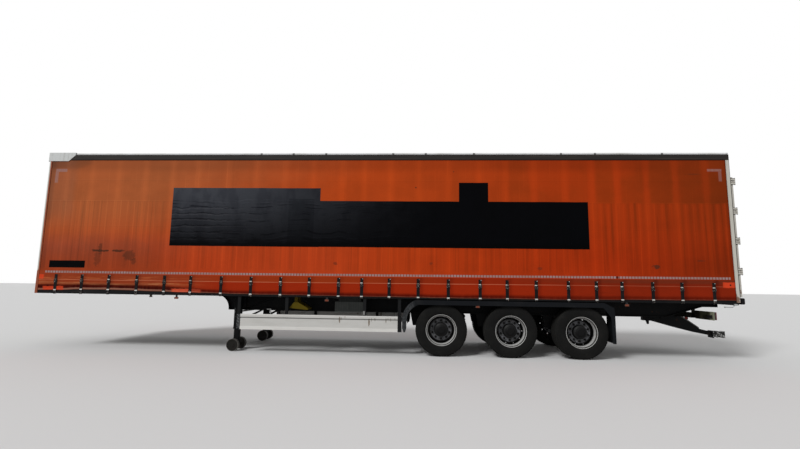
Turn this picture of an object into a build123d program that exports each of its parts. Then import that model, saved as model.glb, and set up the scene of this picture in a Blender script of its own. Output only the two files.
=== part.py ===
"""Curtain-sided semi trailer on three air-sprung axles, parked on its landing legs.

Millimetres. X runs along the trailer with the kingpin end at -X and the doors at +X,
Y runs across it with the left side at -Y, and Z is up from the ground. The origin is on
the ground under the middle of the trailer's outline.
"""
from build123d import *
from math import cos, radians, sin
import os

# Outline of the whole trailer
BODY_LENGTH = 13830.0      # front cap to the outer face of the doors
COUPLING_REACH = 380.0     # how far the rear coupling stands behind the doors
BODY_WIDTH = 2550.0        # over the corner posts
BODY_HEIGHT = 4000.0       # ground to the top of the front cap
FRONT_X = -(BODY_LENGTH + COUPLING_REACH) / 2
REAR_X = FRONT_X + BODY_LENGTH
HALF_WIDTH = BODY_WIDTH / 2
SEAT = 0.3                 # clearance of a soft or curved piece from what carries it
SIDES = (("left", -1), ("right", 1))

# Floor and load space
FLOOR_TOP = 1200.0
FLOOR_THICK = 30.0
FLOOR_HALF_WIDTH = HALF_WIDTH - 75.0
FRAME_TOP = FLOOR_TOP - FLOOR_THICK
ROOF_EDGE = BODY_HEIGHT - 50.0   # top of the cant rails
RAIL_DEPTH = 110.0         # cant rail, top to the curtain's edge
CURTAIN_TOP = ROOF_EDGE - RAIL_DEPTH

# Chassis rails
RAIL_Y = 650.0
WEB = 8.0
FLANGE_WIDTH = 130.0
FLANGE = 12.0
NECK_BOTTOM = 1090.0
RAIL_BOTTOM = 790.0
RAIL_FRONT = FRONT_X + 150.0
NECK_END = FRONT_X + 3830.0
NECK_RADIUS = 270.0
RAIL_TAPER_X = REAR_X - 1125.0
RAIL_REAR = REAR_X - 120.0
RAIL_REAR_BOTTOM = 1000.0
RAIL_TAPER_END = RAIL_REAR - 300.0

# Running gear
AXLE_STEP = 1330.0
AXLE_X = tuple(REAR_X - 5590.0 + AXLE_STEP * place for place in range(3))
TYRE_RADIUS = 498.0
TYRE_WIDTH = 380.0
WHEEL_Y = HALF_WIDTH - 255.0
SPINDLE = 55.0
AXLE_TUBE = 63.5

# Curtains, side raves and doors
CURTAIN = 6.0
CURTAIN_Y = HALF_WIDTH - 10.0
CURTAIN_FRONT = FRONT_X + 100.0
CURTAIN_REAR = REAR_X - 110.0
HEM = 1105.0
RAVE_BOTTOM = 1085.0
RAVE = 5.0
RAVE_OUT = CURTAIN_Y - CURTAIN / 2 - SEAT
DOOR = 35.0
DOOR_SEAL = 10.0
POST_REAR = REAR_X - DOOR - DOOR_SEAL
DOOR_BOTTOM = 1215.0
DOOR_TOP = ROOF_EDGE - 450.0
DOOR_GAP = 10.0
HINGE_BACK = 28.0
HINGE_X = REAR_X + HINGE_BACK
HINGE_RADIUS = 11.0
HINGE_PIN = 5.5


def block(x0, x1, y0, y1, z0, z1):
    """A box between two corners."""
    return Pos((x0 + x1) / 2, (y0 + y1) / 2, (z0 + z1) / 2) * Box(x1 - x0, abs(y1 - y0), z1 - z0)


def side_plate(points, y_middle, thick):
    """A plate drawn in X and Z, seen from the side, with its thickness across the trailer."""
    face = Plane.XZ * make_face(Polyline(*points, close=True))
    return Pos(0, y_middle, 0) * extrude(face, amount=thick / 2, both=True)


def long_section(points, x0, x1):
    """A bar of constant section drawn in Y and Z, running from x0 to x1."""
    face = Plane.YZ * make_face(Polyline(*points, close=True))
    return Pos(x0, 0, 0) * extrude(face, amount=x1 - x0)


def plan_plate(points, z0, z1):
    """A plate drawn in X and Y, seen from above."""
    return Pos(0, 0, z0) * extrude(make_face(Polyline(*points, close=True)), amount=z1 - z0)


def rod_y(x, z, radius, y0, y1):
    """A round bar across the trailer."""
    return Pos(x, (y0 + y1) / 2, z) * Rot(90, 0, 0) * Cylinder(radius, abs(y1 - y0))


def rod_z(x, y, radius, z0, z1):
    """An upright round bar."""
    return Pos(x, y, (z0 + z1) / 2) * Cylinder(radius, z1 - z0)


def rod_x(y, z, radius, x0, x1):
    """A round bar along the trailer."""
    return Pos((x0 + x1) / 2, y, z) * Rot(0, 90, 0) * Cylinder(radius, x1 - x0)


def turned(profile, x, y, z, side):
    """A form turned about the wheel's axis from (radius, outward distance) points."""
    face = make_face(Polyline(*profile, close=True))
    return Pos(x, y, z) * Rot(-90 * side, 0, 0) * revolve(Plane.XZ * face, Axis.Z)


def across(shape, side):
    """The piece drawn for the right side, put on the side asked for."""
    return shape if side > 0 else mirror(shape, about=Plane.XZ)


def save(node, *solids):
    """Write a node's solids to its file."""
    shape = solids[0] if len(solids) == 1 else Compound(list(solids))
    export_step(shape, f"parts/{node}.step")


os.makedirs("parts", exist_ok=True)

# Cross members: pressed channels that run through the webs of the rails
MEMBER_WIDTH = 55.0
MEMBER_WALL = 5.0
MEMBER_END = RAVE_OUT - RAVE
MEMBER_COUNT = 17
MEMBER_FIRST = FRONT_X + 420.0
MEMBER_LAST = REAR_X - 420.0
MEMBER_STEP = (MEMBER_LAST - MEMBER_FIRST) / (MEMBER_COUNT - 1)
MEMBER_X = [MEMBER_FIRST + MEMBER_STEP * place for place in range(MEMBER_COUNT)]
MEMBER_BOTTOM = NECK_BOTTOM + FLANGE


def cross_member(x):
    """One channel, notched where it passes under the rails' top flanges."""
    body = block(x, x + MEMBER_WIDTH, -MEMBER_END, MEMBER_END, MEMBER_BOTTOM, FRAME_TOP)
    hollow = block(x + MEMBER_WALL, x + MEMBER_WIDTH, -MEMBER_END, MEMBER_END,
                   MEMBER_BOTTOM + MEMBER_WALL, FRAME_TOP - MEMBER_WALL)
    body -= hollow
    for side in (-1, 1):
        body -= block(x, x + MEMBER_WIDTH, side * RAIL_Y - FLANGE_WIDTH / 2,
                      side * RAIL_Y + FLANGE_WIDTH / 2, FRAME_TOP - FLANGE, FRAME_TOP)
    return body


save("cross_members", *[cross_member(x) for x in MEMBER_X])

# Chassis rails: I beams, shallow over the kingpin and deep behind the landing legs
rail_points = [(RAIL_FRONT, FRAME_TOP), (RAIL_REAR, FRAME_TOP), (RAIL_REAR, RAIL_REAR_BOTTOM),
               (RAIL_TAPER_END, RAIL_REAR_BOTTOM), (RAIL_TAPER_X, RAIL_BOTTOM),
               (NECK_END, RAIL_BOTTOM), (NECK_END, NECK_BOTTOM), (RAIL_FRONT, NECK_BOTTOM)]
rail_face = make_face(Polyline(*rail_points, close=True))
neck_corner = rail_face.vertices().filter_by(
    lambda v: abs(v.X - NECK_END) < 1 and abs(v.Y - NECK_BOTTOM) < 1)
rail_face = fillet(neck_corner, NECK_RADIUS)
rail_inside = offset(rail_face, amount=-FLANGE)
HANGER_BACK = 500.0        # spring eye ahead of its axle


def rail_low(x):
    """Height of the rails' underside behind the neck."""
    share = (x - RAIL_TAPER_X) / (RAIL_TAPER_END - RAIL_TAPER_X)
    return RAIL_BOTTOM + (RAIL_REAR_BOTTOM - RAIL_BOTTOM) * min(max(share, 0.0), 1.0)


def chassis_rail(side):
    """Web with flanges round its outline, and openings for the cross members."""
    flanges = extrude(Plane.XZ * rail_face, amount=FLANGE_WIDTH / 2, both=True)
    flanges -= extrude(Plane.XZ * rail_inside, amount=FLANGE_WIDTH, both=True)
    rail = flanges + extrude(Plane.XZ * rail_face, amount=WEB / 2, both=True)
    for x in MEMBER_X:
        rail -= block(x - 1, x + MEMBER_WIDTH + 1, -WEB, WEB, MEMBER_BOTTOM, FRAME_TOP - FLANGE)
    return Pos(0, side * RAIL_Y, 0) * rail


save("main_rails", *[chassis_rail(side) for _, side in SIDES])

# Load floor
WALL_REAR = FRONT_X + 100.0
SILL_FRONT = REAR_X - 110.0
save("floor", block(WALL_REAR, SILL_FRONT, -FLOOR_HALF_WIDTH, FLOOR_HALF_WIDTH, FRAME_TOP, FLOOR_TOP))

# Side raves: channels along the floor's edges that the curtain buckles hook under
rave_section = [(MEMBER_END - 31, RAVE_BOTTOM), (RAVE_OUT, RAVE_BOTTOM), (RAVE_OUT, FLOOR_TOP),
                (FLOOR_HALF_WIDTH, FLOOR_TOP), (FLOOR_HALF_WIDTH, FLOOR_TOP - RAVE),
                (MEMBER_END, FLOOR_TOP - RAVE), (MEMBER_END, RAVE_BOTTOM + RAVE),
                (MEMBER_END - 31, RAVE_BOTTOM + RAVE)]
rave = long_section(rave_section, WALL_REAR, SILL_FRONT)
save("side_raves", *[across(rave, side) for _, side in SIDES])

# Front wall: a ribbed panel between two corner posts
WALL_FRONT = FRONT_X + 50.0
WALL_TOP = CURTAIN_TOP
FRONT_POST = 90.0
RIB_COUNT = 7
wall = block(WALL_FRONT, WALL_REAR, -HALF_WIDTH, HALF_WIDTH, RAVE_BOTTOM, WALL_TOP)
bay = (2 * (HALF_WIDTH - FRONT_POST) - 40 * (RIB_COUNT - 1)) / RIB_COUNT
for place in range(RIB_COUNT):
    left = -(HALF_WIDTH - FRONT_POST) + place * (bay + 40)
    wall -= block(WALL_FRONT, WALL_FRONT + 20, left, left + bay, RAVE_BOTTOM + 120, WALL_TOP - 60)
wall -= block(WALL_REAR - 15, WALL_REAR, -FLOOR_HALF_WIDTH, FLOOR_HALF_WIDTH, FLOOR_TOP + 20, WALL_TOP)
save("front_wall", wall)

# Cant rails: box with an open channel outside it for the curtain's rollers
CANT_IN = HALF_WIDTH - 95.0
CANT_LIP = 5.0
cant_section = [(CANT_IN, ROOF_EDGE), (HALF_WIDTH, ROOF_EDGE), (HALF_WIDTH, CURTAIN_TOP),
                (HALF_WIDTH - CANT_LIP, CURTAIN_TOP), (HALF_WIDTH - CANT_LIP, ROOF_EDGE - 12),
                (HALF_WIDTH - 35, ROOF_EDGE - 12), (HALF_WIDTH - 35, CURTAIN_TOP + 15),
                (CANT_IN, CURTAIN_TOP + 15)]
cant_rail = long_section(cant_section, WALL_FRONT, POST_REAR)
cant_rail += block(POST_REAR - 6, POST_REAR, CANT_IN, HALF_WIDTH, CURTAIN_TOP, ROOF_EDGE)
save("cant_rails", *[across(cant_rail, side) for _, side in SIDES])

# Roof skin and the bows under it
ROOF_HALF_WIDTH = HALF_WIDTH - 10.0
ROOF_TOP = BODY_HEIGHT - 5.0
ROOF_SKIN = 5.0
BOW_COUNT = 12
roof = block(WALL_FRONT, POST_REAR, -ROOF_HALF_WIDTH, ROOF_HALF_WIDTH, ROOF_EDGE + SEAT, ROOF_TOP)
roof -= block(WALL_FRONT + 8, POST_REAR - 8, -ROOF_HALF_WIDTH + 8, ROOF_HALF_WIDTH - 8,
              ROOF_EDGE, ROOF_TOP - ROOF_SKIN)
save("roof_skin", roof)
bow_step = (SILL_FRONT - WALL_REAR - 600) / (BOW_COUNT - 1)
bows = []
for place in range(BOW_COUNT):
    x = WALL_REAR + 300 + bow_step * place
    bow = block(x - 25, x + 25, -CANT_IN, CANT_IN, ROOF_EDGE - 40, ROOF_TOP - ROOF_SKIN - SEAT)
    bow += block(x - 25, x + 25, -CANT_IN - 40, CANT_IN + 40, ROOF_EDGE, ROOF_TOP - ROOF_SKIN - SEAT)
    bows.append(bow)
save("roof_bows", *bows)

# Front cap: moulded cover over the front end of the roof and cant rails
CAP_BOTTOM = BODY_HEIGHT - 180.0
CAP = 4.0
CAP_FOOT = 460.0
CAP_END = 600.0
CAP_HALF_WIDTH = HALF_WIDTH + CAP
CAP_RADIUS = 45.0
cap_points = [(FRONT_X, CAP_BOTTOM), (FRONT_X + CAP_FOOT, CAP_BOTTOM), (FRONT_X + CAP_END, ROOF_EDGE),
              (FRONT_X + CAP_END, BODY_HEIGHT), (FRONT_X, BODY_HEIGHT)]
cap = extrude(Plane.XZ * make_face(Polyline(*cap_points, close=True)), amount=CAP_HALF_WIDTH, both=True)
cap = fillet(cap.edges().filter_by(Axis.Z).group_by(Axis.X)[0], CAP_RADIUS)
hollow = block(FRONT_X + CAP, FRONT_X + CAP_END + 1, -HALF_WIDTH - SEAT, HALF_WIDTH + SEAT,
               CAP_BOTTOM - 1, BODY_HEIGHT - CAP)
hollow = fillet(hollow.edges().filter_by(Axis.Z).group_by(Axis.X)[0], CAP_RADIUS - CAP)
save("roof_front_cap", cap - hollow)

# Rear frame: posts with the fixed halves of the hinges, header and sill
POST_IN = HALF_WIDTH - 110.0
POST_BOTTOM = 1110.0
SILL_BOTTOM = 1060.0
SILL_REAR = REAR_X - 10.0
LEAF_HEIGHT = 50.0
KNUCKLE_HEIGHT = 38.0
KNUCKLE_GAP = 0.5
HINGE_STEP = 575.0
HINGE_COUNT = 4
HINGE_Z = [DOOR_TOP - 85 - HINGE_STEP * place for place in range(HINGE_COUNT)]
rear_post = block(SILL_FRONT, POST_REAR, POST_IN, HALF_WIDTH, POST_BOTTOM, CURTAIN_TOP)
rear_post += block(SILL_FRONT, POST_REAR, POST_IN, CANT_IN, CURTAIN_TOP, ROOF_EDGE)
for z in HINGE_Z:
    knuckle_top = LEAF_HEIGHT / 2 + KNUCKLE_GAP + KNUCKLE_HEIGHT
    for low in (z - knuckle_top, z + LEAF_HEIGHT / 2 + KNUCKLE_GAP):
        rear_post += block(POST_REAR, HINGE_X, HALF_WIDTH - 4, HALF_WIDTH + 4, low, low + KNUCKLE_HEIGHT)
        rear_post += rod_z(HINGE_X, HALF_WIDTH, HINGE_RADIUS, low, low + KNUCKLE_HEIGHT)
    rear_post += rod_z(HINGE_X, HALF_WIDTH, HINGE_PIN, z - knuckle_top - 8, z + knuckle_top)
    rear_post += rod_z(HINGE_X, HALF_WIDTH, HINGE_PIN + 3, z + knuckle_top, z + knuckle_top + 5)
save("rear_posts", *[across(rear_post, side) for _, side in SIDES])

ROD_RADIUS = 9.0
ROD_X = REAR_X + 6.0
LOCK_OUT = REAR_X + 17.0   # nothing on the doors stands further out, so that they fold back flat
CAM_LOW = FLOOR_TOP - 60.0
CAM_HIGH = DOOR_TOP + 55.0
CAM_HEIGHT = 30.0
CATCH_GAP = 8.0
# Lock rods: distance from the door's hinge, height of the handle, and which way it points
RODS = ((300.0, 1660.0, -1), (1000.0, 1560.0, 1))
HEADER_BOTTOM = DOOR_TOP + 10.0
header = block(SILL_FRONT, POST_REAR, -POST_IN, POST_IN, HEADER_BOTTOM - 60, ROOF_EDGE)
header -= block(SILL_FRONT, POST_REAR - 8, -POST_IN, POST_IN, HEADER_BOTTOM + 60, ROOF_EDGE - 120)
header += block(POST_REAR, SILL_REAR, -POST_IN, POST_IN, HEADER_BOTTOM, ROOF_EDGE)
header -= block(SILL_REAR - 20, SILL_REAR, -POST_IN + 60, POST_IN - 60, CAM_HIGH + 60, ROOF_EDGE - 50)
sill = block(SILL_FRONT, SILL_REAR, -POST_IN, POST_IN, SILL_BOTTOM, FLOOR_TOP)
for reach, _, _ in RODS:
    for side in (-1, 1):
        y = side * (HALF_WIDTH - reach)
        sill += block(SILL_REAR, LOCK_OUT, y - 30, y + 30, CAM_LOW - CATCH_GAP - 12, CAM_LOW - CATCH_GAP)
        header += block(SILL_REAR, LOCK_OUT, y - 30, y + 30, CAM_HIGH + CATCH_GAP, CAM_HIGH + CATCH_GAP + 12)
save("rear_header", header)
save("rear_sill", sill)

# Rear doors, hinged at the outer corners
DOOR_OUT = HALF_WIDTH - 10.0
STILE = 90.0
INSET = 6.0                # panels behind their frames, and the grooves of the lock rods
door = block(REAR_X - DOOR, REAR_X, DOOR_GAP / 2, DOOR_OUT, DOOR_BOTTOM, DOOR_TOP)
for x0, x1 in ((REAR_X - DOOR, REAR_X - DOOR + INSET), (REAR_X - INSET, REAR_X)):
    door -= block(x0, x1, DOOR_GAP / 2 + STILE, DOOR_OUT - STILE, DOOR_BOTTOM + STILE, DOOR_TOP - STILE)
for reach, _, _ in RODS:
    y = HALF_WIDTH - reach
    door -= block(REAR_X - INSET, REAR_X, y - ROD_RADIUS - 4, y + ROD_RADIUS + 4, DOOR_BOTTOM, DOOR_TOP)
for z in HINGE_Z:
    leaf = [(REAR_X, DOOR_OUT - 160), (REAR_X + 8, DOOR_OUT - 160), (REAR_X + 8, DOOR_OUT - 30),
            (HINGE_X + 5, HALF_WIDTH - 8), (HINGE_X + 5, HALF_WIDTH), (HINGE_X - 5, HALF_WIDTH),
            (REAR_X, DOOR_OUT - 14)]
    door += plan_plate(leaf, z - LEAF_HEIGHT / 2, z + LEAF_HEIGHT / 2)
    door += rod_z(HINGE_X, HALF_WIDTH, HINGE_RADIUS, z - LEAF_HEIGHT / 2, z + LEAF_HEIGHT / 2)
    door -= rod_z(HINGE_X, HALF_WIDTH, HINGE_PIN + SEAT, z - LEAF_HEIGHT, z + LEAF_HEIGHT)
for name, side in SIDES:
    save(f"door_{name}", across(door, side))

# Lock rods with their cams, guides and handles
HANDLE = 380.0
GUIDE_Z = (DOOR_BOTTOM + 60, DOOR_BOTTOM + 800, DOOR_BOTTOM + 1500, DOOR_TOP - 60)
lock_rods = []
for reach, handle_z, way in RODS:
    y = HALF_WIDTH - reach
    rod = rod_z(ROD_X, y, ROD_RADIUS, CAM_LOW, CAM_HIGH)
    for low in (CAM_LOW, CAM_HIGH - CAM_HEIGHT):
        rod += block(REAR_X + 1, LOCK_OUT - 0.5, y - 28, y + 28, low, low + CAM_HEIGHT)
    for z in GUIDE_Z:
        on_frame = z in (GUIDE_Z[0], GUIDE_Z[-1])
        rod += block(REAR_X if on_frame else REAR_X - INSET, LOCK_OUT, y - 30, y + 30, z - 22, z + 22)
    grip = y + way * HANDLE
    rod += block(REAR_X + 7, LOCK_OUT - 1, min(y, grip), max(y, grip), handle_z - 14, handle_z + 14)
    rod += block(REAR_X - INSET, REAR_X + 9, grip - way * 60 - 20, grip - way * 60 + 20, handle_z - 24,
                 handle_z + 24)
    lock_rods.append(rod)
for name, side in SIDES:
    save(f"lock_gear_{name}", *[across(rod, side) for rod in lock_rods])

# Dock buffers at the sill
BUFFER_REACH = 50.0
BUFFER_OUT = HALF_WIDTH - 25.0
BUFFER_WIDTH = 200.0
BUFFER_BOLTS = (50.0, 150.0)   # middles of the bolt recesses, in from the outer end
buffer = block(SILL_REAR, REAR_X + BUFFER_REACH, BUFFER_OUT - BUFFER_WIDTH, BUFFER_OUT, 1078, FLOOR_TOP - 5)
buffer = fillet(buffer.edges().filter_by(Axis.Y).group_by(Axis.X)[-1], 20)
for bolt in BUFFER_BOLTS:
    y = BUFFER_OUT - bolt
    buffer -= block(REAR_X + BUFFER_REACH - 12, REAR_X + BUFFER_REACH, y - 15, y + 15, 1125, 1150)
save("dock_buffers", *[across(buffer, side) for _, side in SIDES])

# Curtains
curtain = block(CURTAIN_FRONT + SEAT, CURTAIN_REAR - SEAT, CURTAIN_Y - CURTAIN / 2, CURTAIN_Y + CURTAIN / 2,
                HEM, CURTAIN_TOP + 60)
for name, side in SIDES:
    save(f"curtain_{name}", across(curtain, side))

# Curtain straps: webbing, buckle and hook, at these shares of the curtain's length
STRAP_SHARES = (0.0267, 0.0669, 0.1083, 0.1510, 0.1927, 0.2322, 0.2778, 0.3220,
                0.3657, 0.4078, 0.4503, 0.4838, 0.5232, 0.5645, 0.6072, 0.6520,
                0.6898, 0.7301, 0.7745, 0.8128, 0.8477, 0.8893, 0.9286, 0.9714)
STRAP_X = [CURTAIN_FRONT + share * (CURTAIN_REAR - CURTAIN_FRONT) for share in STRAP_SHARES]
STRAP_WIDTH = 60.0
STRAP = 3.0
STRAP_TOP = 1470.0
BUCKLE_LOW = 1305.0
BUCKLE_HIGH = 1365.0
HOOK_TOP = HEM + 20.0
HOOK_LOW = RAVE_BOTTOM - 8.0
STRAP_Y = CURTAIN_Y + CURTAIN / 2 + SEAT


def strap(x):
    """Webbing on the curtain with its over-centre buckle and the hook under the rave."""
    half = STRAP_WIDTH / 2
    body = block(x - half, x + half, STRAP_Y, STRAP_Y + STRAP, HOOK_TOP, STRAP_TOP)
    body += block(x - half - 4, x + half + 4, STRAP_Y, STRAP_Y + 12, BUCKLE_LOW, BUCKLE_HIGH)
    body += block(x - half, x + half, STRAP_Y, STRAP_Y + 6, HOOK_LOW, HOOK_TOP)
    body += block(x - half, x + half, RAVE_OUT - 20, STRAP_Y + 6, HOOK_LOW, RAVE_BOTTOM - SEAT)
    return body


straps = [strap(x) for x in STRAP_X]
save("curtain_straps", *[across(piece, side) for _, side in SIDES for piece in straps])

# Ratchet levers that tension the curtains at their rear ends
LEVER_X = REAR_X - 320.0
LEVER_Y = RAVE_OUT - 14.0
LEVER_Z = 1024.0
LEVER_BAR = 8.0
LEVER_BEND = 145.0
LEVER_RISE = 195.0
LEVER_FOOT = 60.0
lever_points = [(LEVER_X, LEVER_Z), (LEVER_X + LEVER_BEND, LEVER_Z), (LEVER_X + LEVER_RISE, RAVE_BOTTOM - 12)]
lever_line = Plane.XZ * FilletPolyline(*lever_points, radius=25)
lever = sweep(Plane(origin=lever_line @ 0, z_dir=lever_line % 0) * Circle(LEVER_BAR), path=lever_line)
lever += Pos(LEVER_X, 0, LEVER_Z) * Sphere(LEVER_BAR + 6)
lever = Pos(0, LEVER_Y, 0) * lever
foot_x = LEVER_X + LEVER_RISE - LEVER_FOOT / 2
lever += block(foot_x, foot_x + LEVER_FOOT, RAVE_OUT - 30, RAVE_OUT, RAVE_BOTTOM - 32, RAVE_BOTTOM)
save("curtain_tensioners", *[across(lever, side) for _, side in SIDES])

# Side frames inside the curtains: sliding posts with slats between them
FRAME_Y = HALF_WIDTH - 50.0
FRAME_THICK = 40.0
SIDE_POST_X = [FRONT_X + share * BODY_LENGTH for share in (0.253, 0.5, 0.747)]
SLAT_Z = (1700.0, 2300.0, 2900.0)
side_frame = None
for x in SIDE_POST_X:
    post = block(x - 50, x + 50, FRAME_Y - FRAME_THICK / 2, FRAME_Y + FRAME_THICK / 2,
                 FLOOR_TOP, CURTAIN_TOP + 15)
    side_frame = post if side_frame is None else side_frame + post
for z in SLAT_Z:
    side_frame += block(WALL_REAR, SILL_FRONT, FRAME_Y - 12, FRAME_Y + 12, z - 60, z + 60)
save("side_frames", *[across(side_frame, side) for _, side in SIDES])

# Coupler plate with the kingpin
KINGPIN_X = FRONT_X + 1700.0
PLATE = 10.0
PLATE_BOTTOM = NECK_BOTTOM - PLATE
# Collar, neck and lower flange, as (radius, height) points
kingpin_profile = [(0, 0), (36.5, 0), (36.5, -35), (25.4, -35), (25.4, -70), (35.7, -70), (35.7, -84),
                   (0, -84)]
kingpin = revolve(Plane.XZ * make_face(Polyline(*kingpin_profile, close=True)), Axis.Z)
plate = block(KINGPIN_X - 650, KINGPIN_X + 650, -RAIL_Y - FLANGE_WIDTH / 2, RAIL_Y + FLANGE_WIDTH / 2,
              PLATE_BOTTOM, NECK_BOTTOM)
save("kingpin_plate", plate + Pos(KINGPIN_X, 0, PLATE_BOTTOM) * kingpin)

# Landing gear
LEG_X = FRONT_X + 4100.0
LEG_Y = HALF_WIDTH - 425.0
ROLLER_RADIUS = 120.0
ROLLER_WIDTH = 70.0
ROLLER_Y = 185.0           # each side of the leg
ROLLER_ROD = 20.0
LEG_HALF = 68.0
LEG_DEPTH = 55.0
LEG_LOW = 420.0
LEG_TOP = RAVE_BOTTOM - 10.0
COLLAR = 30.0              # height of the band round the leg's low end
SHOE_TOP = 215.0
SADDLE = 120.0             # half the length of the plate between the leg and its rail
SADDLE_LOW = 830.0
SADDLE_HIGH = 1060.0
STAY_FOOT = 560.0
STAY_HEAD = 835.0


def leg_tube(grow, z0, z1, corner):
    """A length of the leg's rounded square tube, larger all round by the growth."""
    tube = block(LEG_X - LEG_HALF - grow, LEG_X + LEG_HALF + grow, LEG_Y - LEG_DEPTH - grow,
                 LEG_Y + LEG_DEPTH + grow, z0, z1)
    return fillet(tube.edges().filter_by(Axis.Z), corner)


leg = leg_tube(0, LEG_LOW, LEG_TOP, 14) + leg_tube(5, LEG_LOW, LEG_LOW + COLLAR, 14)
leg += leg_tube(-12, SHOE_TOP - 15, LEG_LOW, 10)
leg += side_plate([(LEG_X - 60, SHOE_TOP), (LEG_X + 60, SHOE_TOP), (LEG_X + 45, 90), (LEG_X - 45, 90)], LEG_Y,
                  2 * LEG_DEPTH)
leg -= rod_y(LEG_X, ROLLER_RADIUS, ROLLER_ROD + SEAT, LEG_Y - 100, LEG_Y + 100)
leg += block(LEG_X - SADDLE, LEG_X + SADDLE, RAIL_Y + WEB / 2, LEG_Y - LEG_DEPTH, SADDLE_LOW, SADDLE_HIGH)
gusset = [(LEG_X + SADDLE, SADDLE_LOW + 5), (LEG_X + 700, SADDLE_HIGH), (LEG_X + 700, SADDLE_HIGH + 25),
          (LEG_X + SADDLE, SADDLE_HIGH)]
leg += side_plate(gusset, RAIL_Y + WEB / 2 + 30, 60)
stay = [(LEG_X + 60, STAY_FOOT), (LEG_X + 60, STAY_FOOT + 60), (LEG_X + 520, STAY_HEAD),
        (LEG_X + 580, STAY_HEAD)]
leg += side_plate(stay, LEG_Y - 30, 12)
leg += block(LEG_X + 500, LEG_X + 600, RAIL_Y + FLANGE_WIDTH / 2, LEG_Y - 24, STAY_HEAD - 35, STAY_HEAD + 5)
save("landing_legs", *[across(leg, side) for _, side in SIDES])
for name, side in SIDES:
    roller_reach = ROLLER_Y + ROLLER_WIDTH / 2
    roller_pair = rod_y(LEG_X, ROLLER_RADIUS, ROLLER_ROD, LEG_Y - roller_reach, LEG_Y + roller_reach)
    for offset_y in (-ROLLER_Y, ROLLER_Y):
        inner = LEG_Y + offset_y - ROLLER_WIDTH / 2
        outer = LEG_Y + offset_y + ROLLER_WIDTH / 2
        roller_pair += rod_y(LEG_X, ROLLER_RADIUS, ROLLER_RADIUS, inner, outer)
        for y0, y1 in ((inner, inner + 12), (outer - 12, outer)):
            roller_pair -= rod_y(LEG_X, ROLLER_RADIUS, 98, y0, y1) - rod_y(LEG_X, ROLLER_RADIUS, 34, y0, y1)
    save(f"landing_rollers_{name}", across(roller_pair, side))
CRANK_Z = 760.0
CRANK_Y = LEG_Y + LEG_DEPTH
CRANK_ARM = 250.0
shaft = rod_y(LEG_X, CRANK_Z, 16, -LEG_Y + LEG_DEPTH, LEG_Y - LEG_DEPTH)
crank = rod_y(LEG_X, CRANK_Z, 12, CRANK_Y, CRANK_Y + 75)
crank += block(LEG_X - 12, LEG_X + 12, CRANK_Y + 63, CRANK_Y + 75, CRANK_Z - CRANK_ARM, CRANK_Z + 14)
crank += rod_y(LEG_X, CRANK_Z - CRANK_ARM + 14, 11, CRANK_Y + 70, CRANK_Y + 190)
brace = block(LEG_X - 22, LEG_X + 22, -LEG_Y + LEG_DEPTH, LEG_Y - LEG_DEPTH, 560, 600)
save("landing_gear_shaft", shaft, crank, brace)

# Side guards: aluminium boards on hangers under the raves
GUARD_FRONT = FRONT_X + 4310.0
GUARD_REAR = AXLE_X[0] - 840.0
GUARD_TOP = 745.0
GUARD_BOTTOM = 450.0
GUARD_Y = HALF_WIDTH - 12.0
guard_section = [(GUARD_Y - 25, GUARD_BOTTOM), (GUARD_Y, GUARD_BOTTOM), (GUARD_Y, GUARD_BOTTOM + 55),
                 (GUARD_Y - 5, GUARD_BOTTOM + 62), (GUARD_Y - 5, GUARD_TOP - 80),
                 (GUARD_Y - 13, GUARD_TOP - 74), (GUARD_Y - 13, GUARD_TOP - 62), (GUARD_Y, GUARD_TOP - 55),
                 (GUARD_Y, GUARD_TOP), (GUARD_Y - 25, GUARD_TOP)]
guard = long_section(guard_section, GUARD_FRONT, GUARD_REAR)
guard_hangers = []
for x in (GUARD_FRONT - 75, GUARD_FRONT + 875, GUARD_REAR - 678, GUARD_REAR):
    end_cap = x in (GUARD_FRONT - 75, GUARD_REAR)
    hanger = block(x, x + 60, GUARD_Y - 60, GUARD_Y - 25, GUARD_BOTTOM + 10, RAVE_BOTTOM)
    if end_cap:
        hanger += block(x, x + 75, GUARD_Y - 60, GUARD_Y - 2, GUARD_BOTTOM, GUARD_TOP)
    guard_hangers.append(hanger)
clip_x = GUARD_FRONT + 590
clip = block(clip_x, clip_x + 14, GUARD_Y - 22, GUARD_Y - 8, GUARD_TOP, GUARD_TOP + 105)
clip += block(clip_x - 70, clip_x + 14, GUARD_Y - 22, GUARD_Y - 8, GUARD_TOP + 90, GUARD_TOP + 105)
guard_hangers.append(clip)
save("side_guards", *[across(guard, side) for _, side in SIDES])
save("guard_hangers", *[across(piece, side) for _, side in SIDES for piece in guard_hangers])

# Mudguards over the three wheels of a side
MUD_FRONT = AXLE_X[0] - 755.0
MUD_REAR = AXLE_X[2] + 600.0
MUD_TOP = RAVE_BOTTOM - 20.0
MUD_OUT = HALF_WIDTH - 14.0
MUD_IN = HALF_WIDTH - 425.0
MUD_SHEET = 8.0
MUD_LIP = 90.0
MUD_WAIST = 640.0          # where the arch begins at the front
MUD_KNEE = 530.0           # where the front end turns back under the arch
MUD_FOOT = 450.0
MUD_TAIL = 310.0
MUD_CROWN = 260.0
MUD_BRACKET_Y = HALF_WIDTH - 155.0


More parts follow.
